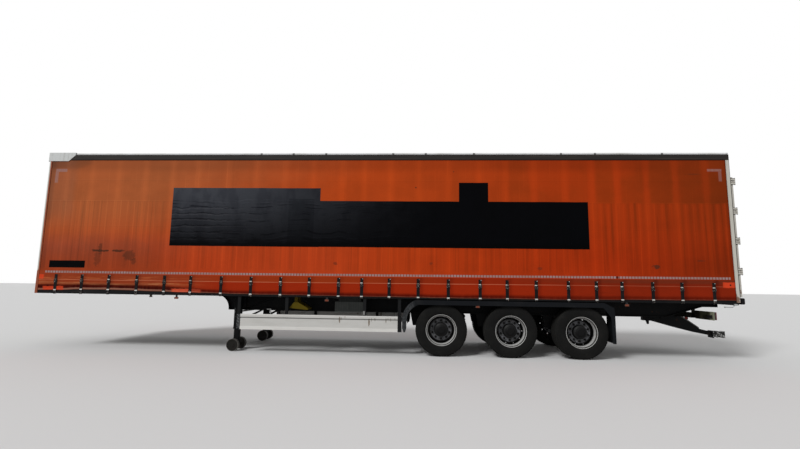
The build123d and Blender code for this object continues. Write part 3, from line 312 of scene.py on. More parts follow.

# Cant rails
# Dark anodised aluminium boxes along the roof's edges, dusty towards their lower lips, which are black:
# partly a black gasket, partly painted shade.
look = Finish("cant_rail_black", (0.0175, 0.0150, 0.0140))
smear = look.grain((0.8, 0.05, 0.03), 5, 0.6)
dusty = look.rise(smear + look.rise(look.z, 3.90, 3.84) * 0.18, 0.5, 0.85)
look.cover((0.040, 0.033, 0.028), dusty)
# The black lower lip: partly a black gasket, partly painted shade under the roof's edge
look.cover((0.006, 0.005, 0.005), look.rise(look.z, 3.862, 3.852))
dress(look.done(0.5 + dusty * 0.3, smear, 0.0004), "cant_rails")

# Roof skin and bows
# A white coated sheet, stretched over pressed aluminium bows, so it dips a little between them.
ROOF_DIP = 0.012
BOW_COUNT, BOW_WIDTH = 12, 0.05
ROOF_ROWS, ROOF_COLUMNS = 260, 41


def surface(name, points, wrap_rows=False, wrap_columns=False):
    """A mesh over a grid of points, shaped (rows, columns, 3), with one face for each cell of the grid.
    A wrapped direction joins its last line of points to its first."""
    rows, columns, _ = points.shape
    index = np.arange(rows * columns).reshape(rows, columns)
    if wrap_rows:
        index = np.vstack([index, index[:1]])
    if wrap_columns:
        index = np.hstack([index, index[:, :1]])
    corners = np.stack([index[:-1, :-1], index[1:, :-1], index[1:, 1:], index[:-1, 1:]], axis=-1)
    mesh = bpy.data.meshes.new(name)
    mesh.from_pydata(points.reshape(-1, 3).tolist(), [], corners.reshape(-1, 4).tolist())
    return mesh


def add_piece(mesh, finish, body, smooth=True):
    """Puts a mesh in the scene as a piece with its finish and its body."""
    piece = bpy.data.objects.new(mesh.name, mesh)
    bpy.context.scene.collection.objects.link(piece)
    mesh.materials.append(finish)
    mesh.polygons.foreach_set("use_smooth", np.full(len(mesh.polygons), smooth))
    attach(piece, body)
    return piece


def thicken(piece, thickness):
    """Gives a sheet its thickness, inwards from the surface drawn."""
    modifier = piece.modifiers.new("thickness", "SOLIDIFY")
    modifier.thickness = thickness
    modifier.offset = -1.0
    modifier.use_even_offset = True


roof_low, roof_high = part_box("roof_skin")
bow_low, bow_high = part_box("roof_bows")
across = np.concatenate([[0.0, 0.0], np.linspace(0, 1, ROOF_COLUMNS), [1.0, 1.0]])
drop = np.concatenate([[0.040, 0.012], np.zeros(ROOF_COLUMNS), [0.012, 0.040]])
u, v = np.meshgrid(np.linspace(0, 1, ROOF_ROWS), across, indexing="ij")
roof_x = roof_low.x + 0.001 + (roof_high.x - roof_low.x - 0.002) * u
bow_pitch = (bow_high.x - bow_low.x - BOW_WIDTH) / (BOW_COUNT - 1)
bow_phase = (roof_x - bow_low.x - BOW_WIDTH / 2) / bow_pitch
crown = np.sin(np.pi * v) ** 0.7
dip = ROOF_DIP * np.sin(np.pi * bow_phase) ** 2 * crown
roof_y = roof_low.y + (roof_high.y - roof_low.y) * (0.0015 + 0.997 * v)
roof_z = roof_high.z - 0.001 - np.broadcast_to(drop, u.shape) - dip - 0.003 * (1 - crown)
roof = surface("roof_sheet", np.stack([roof_x, roof_y, roof_z], axis=-1))
look = Finish("roof_white", (0.66, 0.665, 0.675))
stain = look.rise(look.grain((0.5, 0.16, 1.0), 6, 0.6), 0.42, 0.75)
pool = look.rise(look.grain((0.9, 0.5, 1.0), 3, 0.5, 5.0), 0.5, 0.7)
look.cover((0.40, 0.39, 0.35), stain * 0.6)
look.cover((0.24, 0.23, 0.2), pool * 0.35)
clips = sum(look.within(look.x, clip_x - 0.022, clip_x + 0.022, 0.004)
            for clip_x in (-2.55, -1.884, -1.21, 0.158, 0.814, 1.778, 3.49, 4.15, 5.436))
look.cover((0.06, 0.055, 0.05), clips * look.rise(abs(look.y), 1.235, 1.245) * 0.8)
weave = look.grain((0.002, 0.002, 0.002), 1)
roof_sheet = add_piece(roof, look.done(0.55, weave, 0.0002), "trailer")
thicken(roof_sheet, 0.002)
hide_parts("roof_skin")


def bare_metal(name, colour, shine, rough, grime, size=0.05):
    """Bare or zinc coated metal: a spangle of lighter and darker patches under a film of grime."""
    look = Finish(name, tuple(c * 0.72 for c in colour))
    spangle = look.grain((size, size, size), 4, 0.7)
    film = look.rise(look.grain((0.3, 0.3, 0.3), 5, 0.6, 2.0) + look.upward() * 0.15, 0.45, 0.8) * grime
    look.cover(tuple(min(1.0, c * 1.15) for c in colour), spangle)
    look.cover((0.12, 0.11, 0.095), film)
    return look.done(rough + film * 0.35 + spangle * 0.08, spangle, 0.0003, shine - film * shine * 0.8)


galvanised = bare_metal("zinc_coat", (0.42, 0.43, 0.43), 0.75, 0.42, 0.45, 0.03)
dress(bare_metal("mill_aluminium", (0.55, 0.55, 0.54), 0.7, 0.4, 0.35), "roof_bows", "side_frames")

# Curtains
# Coated polyester, hung on rollers in the cant rails and pulled tight to the rave by its straps, with a
# reflective tape along it. Faded and streaked where it rubs on the posts inside it, and partly covered
# with plain black film.
FRONT_END_MM = -7105.0
STRAP_X = (FRONT_END_MM + np.array([
    463, 1011, 1575, 2156, 2724, 3263, 3883, 4486, 5081, 5654, 6233, 6689,
    7226, 7789, 8370, 8980, 9495, 10044, 10649, 11170, 11646, 12212, 12748, 13330])) / 1000
BAY_TONE = np.array([0.5, 0.7, 0.3, 0.6, 0.8, 0.4, 0.2, 0.6, 0.5, 0.3, 0.4, 0.6, 0.2,
                     0.5, 0.3, 0.6, 0.4, 0.7, 0.5, 0.6, 0.9, 0.7, 1.0, 0.8, 0.9])
BULGE = 0.007
HEM_ZONE = 1.50
cloth_low, cloth_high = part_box("curtain_left")
CLOTH_OUT = -cloth_low.y


def near_strap(x, reach):
    """1 at each strap, falling to 0 away from it as a bell curve of that reach."""
    gap = np.abs(x[..., None] - STRAP_X).min(axis=-1)
    return np.exp(-(gap / reach) ** 2)


def ripple(x, z):
    """How far the cloth stands out: it is held in at the straps and bellies between them near its hem,
    with long upright waves above, and the fold of the hem pocket across it."""
    held = near_strap(x, 0.085)
    low = 1 / (1 + np.exp((z - HEM_ZONE) / 0.06))
    belly = BULGE * (1 - held) * low * (0.65 + 0.35 * np.sin(5.1 * x + 1.3))
    fold = 0.0035 * np.exp(-((z - 1.372) / 0.012) ** 2) * (1 - held)
    waves = (0.0020 * np.sin(6.3 * x + 1.1 * np.sin(0.9 * z))
             + 0.0012 * np.sin(17.0 * x + 2.0 * np.sin(1.7 * z)))
    tuck = -0.004 * np.exp(-((z - 1.17) / 0.02) ** 2) * (1 - held)
    return belly + fold + tuck + (waves - 0.002) * (1 - low) * np.clip((3.84 - z) / 0.4, 0, 1)


def hem_lift(x):
    """How high the hem hangs over its lowest place: it is drawn up at both ends, and wanders a little."""
    places, lifts = zip((-7.1, 0.046), (-6.5, 0.050), (-6.2, 0.063), (-5.2, 0.064), (-4.6, 0.052),
                        (-3.9, 0.036), (-2.8, 0.022), (-1.5, 0.013), (0.0, 0.008), (1.0, 0.005),
                        (3.0, 0.007), (4.0, 0.011), (5.0, 0.031), (6.6, 0.040))
    return np.interp(x, places, lifts) + 0.002 * np.sin(3.1 * x + 0.4) + 0.0015 * np.sin(11.0 * x)


cloth_x = np.linspace(cloth_low.x, cloth_high.x, 520)
cloth_t = np.concatenate([np.linspace(0, 0.15, 26), np.linspace(0.16, 1, 44)])
gx, gt = np.meshgrid(cloth_x, cloth_t, indexing="ij")
hem_line = cloth_low.z + 0.001 + hem_lift(gx)
gz = hem_line + (cloth_high.z - 0.002 - hem_line) * gt

FADED = (0.354, 0.088, 0.0270)
ORANGE = (0.388, 0.0490, 0.0070)
DEEP = (0.325, 0.0315, 0.0038)
SHADY = (0.190, 0.0225, 0.0030)
look = Finish("curtain_orange", ORANGE)
x, z = look.x, look.z
band, bay = look.carried("strap_band"), look.carried("bay_tone")
mottle = look.grain((0.30, 1.0, 0.22), 5, 0.6, 2.0)
wide = look.grain((0.60, 1.0, 5.0), 3, 0.55)
slim = look.grain((0.050, 1.0, 2.5), 3, 0.6, 4.0)
hair = look.grain((0.014, 1.0, 1.6), 2, 0.6, 8.0)
cloud = look.grain((0.9, 1.0, 0.7), 4, 0.6, 12.0)
fade = look.rise(x - (z - 2.2) * 1.3 + mottle - 0.5, -1.8, -6.6) * look.rise(z, 1.3, 2.9)
look.cover(FADED, fade)
look.cover(DEEP, look.rise(x + mottle * 0.6 - 0.3, -0.8, 4.4))
upper = look.rise(z + mottle * 0.05, 2.985, 3.03)
bright_middle = look.rise(z, 1.7, 2.5) * (1 - upper)
look.cover(SHADY, look.rise(x + mottle * 0.8 - 0.4, 4.3, 6.4) * (0.85 - bright_middle * 0.42))
look.shade((1.0, 0.80, 0.78), look.rise(z, 3.0, 1.7))
look.shade((1.0, 1.05, 1.45), look.rise(z, 2.4, 2.0) * look.rise(x, 0.5, -1.5))
look.shade((0.91, 0.92, 0.93), look.rise(cloud, 0.40, 0.64))

# Painted shade under the cant rail, under the front cap and along the front edge; the low corner at the front
# is darker, partly with grime and partly with painted shade
under_rail = look.rise(z + mottle * 0.06, 3.56, 3.74) * look.rise(x, 6.3, 5.0)
look.shade((0.80, 0.82, 0.86), under_rail)
look.shade((0.88, 1.0, 1.25), look.rise(x + mottle * 0.2, -6.25, -6.45) * look.rise(z, 2.3, 2.9))
# The low front corner: partly grime, partly painted shade
corner = look.rise(x + z * 0.5 + mottle * 0.5, -2.5, -3.9) * look.rise(z + mottle * 0.2, 2.55, 1.95)
look.shade((0.68, 0.88, 1.15), corner)
# Painted shadow of the front cap
look.shade((0.74, 0.83, 0.95), look.spot(-6.70, 3.84, 0.75, 0.24, mottle * 0.6))
# Painted shade along the front edge
look.shade((0.76, 0.82, 0.90), look.rise(x, -6.86, -6.96) * look.rise(z, 1.5, 1.6))

# Above the upper seam each bay between two straps has its own brown tone
brown = look.rise(bay + cloud * 1.1 - band * 0.9 - look.rise(z, 3.3, 3.8) * 0.25, 0.65, 1.45)
brown_tint = look.blend((0.94, 0.97, 0.97), (0.82, 0.98, 1.0), look.rise(x, 0.5, 4.0))
look.shade(brown_tint, brown * upper)
look.shade((1.15, 1.16, 1.13), band * (0.35 + mottle * 0.9))

# Below it the cloth is worn in narrow strips, with pale creases between them
CREASE_PITCH = 0.146
cell = look.zigzag(x + slim * 0.06, CREASE_PITCH)
lower = (1 - upper) * look.rise(z, 1.56, 1.66)
worn = look.rise(x, 2.4, 5.2) * 0.5 + look.rise(look.grain((0.9, 1.0, 2.2), 2, 0.5, 6.0), 0.42, 0.62) * 0.4
strip = look.rise(cell, 0.020, 0.066) * (1 - band) * lower * worn
look.shade((0.62, 0.80, 0.90), strip * (0.2 + slim * 0.9) * look.rise(z, 1.35, 2.5))
look.shade((1.20, 1.30, 1.30), look.rise(cell, 0.010, 0.003) * lower * (0.1 + hair * 0.9))
look.shade((0.86, 0.90, 0.93), look.rise(slim + hair * 0.2, 0.60, 0.72) * lower)
look.shade((1.13, 1.18, 1.20), look.rise(hair, 0.60, 0.72) * 0.8)
for seam, width, strength in ((3.425, 0.005, 0.45), (2.985, 0.006, 0.6), (2.47, 0.005, 0.35)):
    line = look.within(z + mottle * 0.012, seam - width + 0.006, seam + width + 0.006, 0.005)
    look.shade((1.18, 1.4, 1.5), line * strength * (0.1 + wide))
    # Painted shade just under each seam
    shade = look.within(z + mottle * 0.012, seam - width - 0.008, seam - width + 0.002, 0.005)
    look.shade((0.80, 0.80, 0.85), shade * strength * (0.3 + wide))

# Smudges and scratches of the near side, as (middle x, middle z, half length, half height, strength)
near_side = look.rise(look.y, 0.1, -0.1)
ragged = (look.grain((0.09, 1.0, 0.05), 4, 0.75, 9.0) - 0.5) * 5.0
for spot_x, spot_z, reach_x, reach_z, strength in (
        (-5.80, 1.955, 0.19, 0.026, 0.90), (-5.77, 1.995, 0.045, 0.11, 0.55),
        (-5.82, 1.79, 0.075, 0.15, 0.40), (-5.40, 1.955, 0.15, 0.024, 0.85),
        (-5.16, 1.86, 0.13, 0.11, 0.55), (-5.05, 1.74, 0.05, 0.06, 0.45), (-0.95, 1.75, 0.04, 0.030, 0.5),
        (0.93, 1.77, 0.035, 0.028, 0.4), (3.02, 1.70, 0.05, 0.028, 0.4), (5.19, 1.756, 0.07, 0.045, 0.8),
        (6.02, 1.88, 0.10, 0.010, 0.6), (5.98, 3.56, 0.14, 0.008, 0.5), (0.62, 3.28, 0.018, 0.014, 0.9),
        (1.37, 3.60, 0.016, 0.012, 0.8)):
    mark = look.spot(spot_x, spot_z, reach_x, reach_z, ragged)
    look.cover((0.050, 0.019, 0.010), mark * near_side * strength)

# The hem: a bright seam, a fold with a painted highlight, a tuck in painted shade and a pale lower edge,
# with painted shadow along its top under the tape and beside each strap. The tape and the seam rise a little
# towards the doors.
level = z - (x.most(-3.0) - 1.2) * 0.0040
over_hem = look.carried("over_hem")
forward, rearward = look.rise(x + mottle * 0.4, -2.9, -4.5), look.rise(x + mottle * 0.6, 2.2, 5.2)
HEM_RED = (0.268, 0.0182, 0.0029)
below = look.rise(level, 1.510, 1.490)
look.cover(HEM_RED, below)
look.shade((0.84, 1.9, 3.6), below * forward * 0.9)
look.shade((0.72, 0.82, 1.10), below * rearward * (0.5 + mottle * 0.8))
above_seam = look.rise(level + mottle * 0.02, 1.375, 1.395)
look.shade((0.94, 1.50, 1.6), below * above_seam * look.rise(x, 2.0, -1.0) * (1 - forward))
look.shade((0.85, 0.90, 1.0), below * above_seam * look.rise(x, -0.8, 0.6))
# Painted shadow along the top of the hem, under the tape, towards the doors
look.shade((0.80, 1.40, 2.2), below * look.rise(level, 1.40, 1.45) * rearward)
streaks = look.rise(look.grain((0.55, 1.0, 0.016), 3, 0.6, 17.0), 0.52, 0.66)
streaks = streaks * look.within(level, 1.27, 1.47, 0.02)
look.shade((1.55, 2.6, 2.8), streaks * forward * 0.9)
# Painted shadow on the rear side of each strap
beside = look.carried("strap_shade")
look.shade((0.50, 0.46, 0.52), below * beside * (0.25 + wide * 1.1) * (0.6 + rearward * 0.4))
seam_line = look.within(level + mottle * 0.010, 1.380, 1.390, 0.005) * (1 - band * 0.4)
look.cover((0.52, 0.165, 0.085), seam_line * (0.22 + wide * 0.9) * (1 - rearward * 0.55))
# Painted highlight along the fold
fold = look.within(level + wide * 0.09, 1.335, 1.375, 0.014)
look.shade((1.25, 2.3, 3.0), fold * forward * (0.3 + slim * 0.8))
# Painted shade in the tuck near the foot of the hem
tuck = look.rise(over_hem + wide * 0.04 - forward * 0.045, 0.115, 0.055)
tuck_shade_tint = look.blend((0.28, 0.20, 0.22), (0.15, 0.034, 0.020), forward)
look.shade(tuck_shade_tint, tuck * (0.7 + slim * 0.5) * (1 - rearward * 0.35))
hem_edge = look.rise(over_hem + slim * 0.014 - forward * 0.022, 0.026, 0.018)
look.cover((0.25, 0.105, 0.070), hem_edge * (wide * 0.75 + forward * 0.50) * (1 - rearward * 0.3))
RED_PATCH = (0.55, 0.048, 0.014)
for x0, x1, z0, z1 in ((-7.05, -6.90, 1.375, 1.465), (-6.90, -6.68, 1.130, 1.225),
                       (-6.62, -6.47, 1.140, 1.230), (6.40, 6.62, 1.385, 1.485)):
    patch = look.within(x + mottle * 0.08, x0 + 0.04, x1 + 0.04, 0.015)
    patch = patch * look.within(z + slim * 0.03, z0 + 0.015, z1 + 0.015, 0.012)
    look.cover(RED_PATCH, patch * (0.45 + slim * 0.8))
for x0, x1, strength in ((-4.21, -3.88, 0.80), (-3.84, -3.62, 0.40)):
    patch = look.rise(over_hem + slim * 0.03, 0.090, 0.075)
    patch = patch * look.within(x + mottle * 0.1, x0 + 0.05, x1 + 0.05, 0.03)
    look.cover((0.74, 0.105, 0.045), patch * (0.4 + slim * 0.7) * strength)
look.cover((0.012, 0.010, 0.010), look.spot(6.525, 1.432, 0.016, 0.016))
grime = look.grain((0.4, 1.0, 0.05), 5, 0.65, 7.0)
look.shade((0.55, 0.62, 0.70), look.rise(z, 1.50, 1.15) * look.rise(grime, 0.52, 0.8) * 0.45)

# The tape, a row of small glass cells that are worn to different tones
TAPE_PITCH = 0.057
tape = look.within(level, 1.514, 1.556, 0.002) * look.within(x, -6.885, 6.54, 0.004)
glass = look.rise(look.zigzag(x, TAPE_PITCH), 0.006, 0.011)
tape_colour = look.blend((0.150, 0.052, 0.036), (0.300, 0.245, 0.250), glass)
tape_colour = look.blend(tape_colour, (0.23, 0.095, 0.070), look.rise(grime + mottle * 0.4, 0.45, 0.9) * 0.6)
tape_colour = look.blend(tape_colour, (0.040, 0.010, 0.007), look.within(x, 4.440, 4.486, 0.004))
look.cover(tape_colour, tape * 0.9)
for x0, x1, z0, z1, strength in ((-6.90, -6.66, 3.592, 3.655, 0.9), (-6.905, -6.840, 3.36, 3.590, 0.75),
                                 (6.262, 6.53, 3.615, 3.662, 0.7), (6.468, 6.525, 3.42, 3.612, 0.55)):
    mark = look.within(x, x0, x1, 0.010) * look.within(z, z0, z1, 0.010)
    look.cover((0.275, 0.165, 0.155), mark * (0.10 + slim * 0.7 + hair * 0.6) * strength)

# The film: black and creased, with a painted reflection of the sky that makes it paler towards its upper
# left, and painted highlight and shade along its creases and pleats
FILM_SKY_SHEEN = (0.0440, 0.0470, 0.0560)
FILM_RIGHT = (0.0006, 0.0007, 0.0012)
FILM_SHEETS = ((-4.345, -1.295, 2.07, 3.26), (-1.300, 3.972, 2.075, 3.00), (1.475, 2.050, 2.99, 3.38),
               (-6.822, -6.070, 1.604, 1.747))
film = functools.reduce(Wire.most, [
    look.within(x, x0, x1, 0.003) * look.within(z + mottle * 0.01, z0 + 0.005, z1 + 0.005, 0.003)
    for x0, x1, z0, z1 in FILM_SHEETS])
# Painted reflection of the sky, paler towards the upper left
pale = look.rise(x + mottle * 1.2 - 0.6, 1.0, -4.0) * look.rise(z + mottle * 0.3 - 0.15, 1.9, 3.35)
film_colour = look.blend(FILM_RIGHT, FILM_SKY_SHEEN, pale * look.rise(x, -5.2, -5.0))
drape = look.grain((0.35, 1.0, 0.7), 3, 0.6, 14.0)
bent = z + look.grain((0.8, 1.0, 0.8), 2, 0.5, 21.0) * 0.30
crease = look.make("ShaderNodeTexNoise", {"noise_dimensions": "1D"},
                   {"W": bent * 22.0, "Scale": 1.0, "Detail": 3.0, "Roughness": 0.6})
few = look.rise(look.grain((0.35, 1.0, 0.30), 3, 0.6, 3.0), 0.42, 0.58) * look.rise(x, 1.6, -1.2)
few = few * look.rise(z, 3.10, 2.90)
crease_highlight = look.rise(crease, 0.58, 0.68) * few
crease_shade = look.rise(crease, 0.45, 0.36) * few
PLEAT_PITCH = 0.125
pleat = look.make("ShaderNodeMath", {"operation": "WRAP"},
                  {0: z + mottle * 0.12 + slim * 0.03, 1: PLEAT_PITCH, 2: 0.0})
pleats = look.rise(z, 3.05, 2.75) * look.rise(x + mottle * 1.2, -1.9, -3.0)
pleats = pleats * (0.15 + slim * 0.4 + drape * 0.9)
block = look.within(x, -1.934, -1.414, 0.01) * look.rise(z, 3.045, 3.035)
# Tints over the film: darker patches, painted shade and highlight along the pleats and creases, darker low
# down, and a darker block
for tone, share in (((0.60, 0.60, 0.64), look.rise(drape, 0.45, 0.62) * 0.6),
                    ((0.15, 0.15, 0.17), look.within(pleat, 0.055, 0.070, 0.008) * pleats),
                    ((1.9, 1.8, 1.7), look.within(pleat, 0.026, 0.040, 0.008) * pleats),
                    ((1.7, 1.7, 1.7), crease_highlight * 0.7), ((0.25, 0.25, 0.3), crease_shade * 0.8),
                    ((0.45, 0.45, 0.45), look.rise(z + mottle * 0.25, 2.36, 2.24)),
                    ((0.62, 0.64, 0.66), block * 0.8)):
    film_colour = look.tint(film_colour, tone, share)
look.cover(film_colour, film)
weave = look.grain((0.0016, 1.0, 0.0016), 1, 0.5)
height = wide * 0.4 + mottle * 0.5 + slim * 0.2 + weave * 0.06 + film * crease_highlight * 0.9
curtain_orange = look.done(0.60 + mottle * 0.12, height, 0.005, gloss=0.03)

for side, name in ((-1, "left"), (1, "right")):
    out = CLOTH_OUT - 0.0008 + ripple(gx, gz) * (1.0 if side < 0 else 0.93)
    points = np.stack([gx, side * out, gz], axis=-1)
    if side > 0:
        points = points[::-1]
    mesh = surface(f"curtain_{name}_cloth", points)
    flat_x = points[..., 0].reshape(-1)
    tones = BAY_TONE[np.searchsorted(STRAP_X, flat_x)]
    # strap_shade carries the painted shadow on the rear side of each strap
    shade = near_strap(flat_x - 0.055, 0.045)
    lift = points[..., 2] - cloth_low.z - 0.001 - hem_lift(points[..., 0])
    for label, values in (("strap_band", near_strap(flat_x, 0.062)), ("bay_tone", tones),
                          ("strap_shade", shade), ("over_hem", lift.reshape(-1))):
        mesh.attributes.new(label, "FLOAT", "POINT").data.foreach_set("value", values.astype(np.float32))
    cloth = add_piece(mesh, curtain_orange, "trailer")
    thicken(cloth, 0.0015)
    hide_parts(f"curtain_{name}")

# Curtain straps
# Black polyester webbing sewn to the curtain, with a dark over-centre buckle, keepers that are bright in
# places, bright plates, and a hook that grips under the rave. The bright patches on the buckles, hooks and
# keepers are painted glints.
look = Finish("webbing", (0.0045, 0.0040, 0.0045))
weave = look.make("ShaderNodeTexWave", {"wave_type": "BANDS", "bands_direction": "Z"},
                  {"Vector": look.place, "Scale": 120.0, "Distortion": 0.4}, out=1)
dirt = look.rise(look.grain((0.05, 0.05, 0.12), 4, 0.6), 0.5, 0.8)
look.cover((0.022, 0.018, 0.016), dirt * 0.5)
webbing = look.done(0.8, weave, 0.0005)
bright_steel = bare_metal("plated_steel", (0.56, 0.55, 0.52), 0.35, 0.4, 0.3, 0.02)
look = Finish("keeper_steel", (0.045, 0.040, 0.036))
# Painted glints on some of the keepers and studs
keeper_glint = look.rise(look.grain((0.35, 0.4, 0.4), 2, 0.5, 5.0), 0.38, 0.50)
look.cover((0.48, 0.47, 0.44), keeper_glint)
keeper_steel = look.done(0.45, keeper_glint, 0.0003)
look = Finish("buckle_steel", (0.009, 0.008, 0.008))
# Painted glints on the buckles and hooks
glint = look.rise(look.grain((0.022, 0.022, 0.016), 2, 0.5, 2.0), 0.56, 0.66)
look.cover((0.20, 0.18, 0.16), glint)
buckle_steel = look.done(0.5, glint, 0.0004)


def ribbon(line, x0, x1, thick):
    """Closed strip whose middle follows a line of (out, up) points, from x0 to x1, with that thickness."""
    line = np.array(line, float)
    run = np.gradient(line, axis=0)
    normal = np.stack([run[:, 1], -run[:, 0]], axis=1)
    normal /= np.linalg.norm(normal, axis=1, keepdims=True)
    outer, inner = line + normal * thick / 2, line - normal * thick / 2
    ring = np.concatenate([outer, inner[::-1]])
    vertices = np.concatenate([np.column_stack([np.full(len(ring), x), ring]) for x in (x0, x1)])
    count = len(ring)
    faces = [(i, (i + 1) % count, count + (i + 1) % count, count + i) for i in range(count)]
    half = count // 2
    for i in range(half - 1):
        faces.append((i + 1, i, count - 1 - i, count - 2 - i))
        faces.append((count + i, count + i + 1, 2 * count - 2 - i, 2 * count - 1 - i))
    return vertices, faces


def brick(x0, x1, y0, y1, z0, z1):
    """The eight corners and six faces of a small bar."""
    vertices = np.array([(x, y, z) for x in (x0, x1) for y in (y0, y1) for z in (z0, z1)])
    faces = [(0, 1, 3, 2), (4, 6, 7, 5), (0, 4, 5, 1), (2, 3, 7, 6), (0, 2, 6, 4), (1, 5, 7, 3)]
    return vertices, faces


def joined(forms):
    """Several (vertices, faces) forms as one."""
    vertices, faces, start = [], [], 0
    for points, cells in forms:
        vertices.append(points)
        faces += [tuple(start + i for i in cell) for cell in cells]
        start += len(points)
    return np.concatenate(vertices), faces


def copies(name, form, places):
    """One mesh with a copy of the form at each place, given as (x, y, z, side): side -1 mirrors Y."""
    points, cells = form
    vertices, faces = joined([(points * (1, side, 1) + (x, y, z), [cell[::side] for cell in cells])
                              for x, y, z, side in places])
    mesh = bpy.data.meshes.new(name)
    mesh.from_pydata(vertices.tolist(), [], faces)
    return mesh


def add_fittings(name, form, places, finish, width, segments=2):
    """Puts a copy of the form at each place, as one piece of the trailer body, with edges rounded by the
    width in metres."""
    piece = add_piece(copies(name, form, places), finish, "trailer", False)
    modifier = piece.modifiers.new("edges", "BEVEL")
    modifier.width = width
    modifier.segments = segments
    modifier.limit_method = "ANGLE"
    modifier.angle_limit = math.radians(40)


WEB_HALF, LEVER_HALF, BUCKLE_HALF, HOOK_HALF = 0.030, 0.024, 0.034, 0.026
both_sides = [(sx, 0.0, 0.0, side) for side in (-1, 1) for sx in STRAP_X]
web_low = [(1.2690, 1.470), (1.2700, 1.440), (1.2712, 1.400), (1.2712, 1.365)]
web_bottom = [(1.2720, 1.310), (1.2712, 1.26), (1.2704, 1.20), (1.2700, 1.15), (1.2706, 1.122)]
strap_web = joined([ribbon(line, -WEB_HALF, WEB_HALF, 0.0024) for line in (web_low, web_bottom)])
straps = add_piece(copies("strap_webbing", strap_web, both_sides), webbing, "trailer", False)
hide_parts("curtain_straps")
lever = [(1.2715, 1.372), (1.2760, 1.358), (1.2788, 1.338), (1.2790, 1.318), (1.2765, 1.303)]
buckle = joined([ribbon(lever, -LEVER_HALF, LEVER_HALF, 0.0022),
                 brick(-BUCKLE_HALF, -0.028, 1.2705, 1.2795, 1.302, 1.368),
                 brick(0.028, BUCKLE_HALF, 1.2705, 1.2795, 1.302, 1.368),
                 brick(-BUCKLE_HALF, BUCKLE_HALF, 1.2725, 1.2785, 1.361, 1.368),
                 brick(-BUCKLE_HALF, BUCKLE_HALF, 1.2725, 1.2785, 1.302, 1.308)])
add_fittings("strap_buckles", buckle, both_sides, buckle_steel, 0.0012)
stud = joined([brick(0.012, 0.025, 1.2706, 1.2745, 1.450, 1.463),
               brick(-0.027, 0.018, 1.2706, 1.2760, 1.368, 1.386),
               brick(-0.030, -0.020, 1.2706, 1.2745, 1.318, 1.330)])
add_fittings("strap_studs", stud, both_sides, keeper_steel, 0.002)
hook_line = [(1.2712, 1.128), (1.2722, 1.112), (1.2722, 1.098), (1.2710, 1.084), (1.2665, 1.0785),
             (1.2560, 1.0790), (1.2480, 1.0805)]
hook = ribbon(hook_line, -HOOK_HALF, HOOK_HALF, 0.0028)
add_fittings("strap_hooks", hook, both_sides, buckle_steel, 0.001)
plate = brick(-HOOK_HALF, HOOK_HALF, 1.2702, 1.2752, 1.096, 1.118)
at_hem = [(sx, 0.0, float(hem_lift(sx)), side) for side in (-1, 1) for sx in STRAP_X]
add_fittings("strap_plates", plate, at_hem, bright_steel, 0.002)
dress(galvanised, "curtain_tensioners")

# Rear doors and lock gear
# Faced board in steel frames, painted an aged white, and zinc coated rods that turn in guides.
dress(white_finish("door_white", (0.385, 0.365, 0.325), 1.50, 6.7255, (6.685, 6.693)),
      "door_left", "door_right")
dress(galvanised, "lock_gear_left", "lock_gear_right")

# The buffers and the air springs are black rubber that pales with dust
look = Finish("rubber", (0.007, 0.007, 0.0073))
fine = look.grain((0.015, 0.015, 0.015), 4, 0.6)
cloud = look.grain((0.22, 0.22, 0.22), 4, 0.6, 1.0)
look.cover((0.060, 0.056, 0.050), look.rise(cloud + look.upward() * 0.25, 0.5, 0.95) * 0.4)
dress(look.done(0.72 + fine * 0.15, fine, 0.0005, gloss=0.08), "dock_buffers", "air_springs")

# Coupler plate and kingpin
# Bare steel, blackened with old grease.
look = Finish("greasy_steel", (0.16, 0.12, 0.09))
smear = look.rise(look.grain((0.3, 0.3, 0.2), 5, 0.6), 0.35, 0.65)
look.cover((0.012, 0.011, 0.010), smear)
dress(look.done(0.62 - smear * 0.3, smear, 0.0008, 0.5), "kingpin_plate")

# Landing gear
# Two-stage legs in chassis paint, joined by a shaft, on steel rollers that are polished by the ground.
dress(galvanised, "landing_gear_shaft")
LEG_X, ROLLER_HEIGHT = -3.005, 0.120
RUNG_PITCH = 0.028
look = Finish("leg_paint", BLACK_PAINT)
dust = look.rise(look.grain((0.3, 0.3, 0.3), 5), 0.5, 0.8)
look.cover(ROAD_DUST, dust * 0.25)
rung = look.zigzag(look.z, RUNG_PITCH)
scale = look.within(look.x, -3.085, -3.045, 0.002) * look.within(look.z, 0.740, 0.835, 0.002)
look.cover((0.12, 0.125, 0.13), scale * look.rise(rung, 0.006, 0.009))
dress(look.done(0.6, dust, 0.0006, gloss=0.06), "landing_legs")
look = Finish("roller_steel", (0.010, 0.0095, 0.0085))
dx, dz = look.x - LEG_X, look.z - ROLLER_HEIGHT
radius = (dx * dx + dz * dz).root()
scuff = look.grain((0.03, 0.03, 0.03), 4, 0.6)
look.cover(ROAD_DUST, scuff * 0.3)
look.cover((0.12, 0.115, 0.105), look.rise(radius, 0.110, 0.113) * (0.3 + scuff * 0.7))
dress(look.done(0.6, scuff, 0.0006, gloss=0.08), "landing_rollers_left", "landing_rollers_right")

# Side guards
# Extruded aluminium boards, clipped to black hangers, with rust run down from the clips.
look = Finish("guard_board", (0.485, 0.480, 0.460))
scratch = look.grain((0.6, 0.1, 0.008), 3, 0.6)
ragged = (look.grain((0.02, 1.0, 0.02), 4, 0.7, 3.0) - 0.5) * 3.0
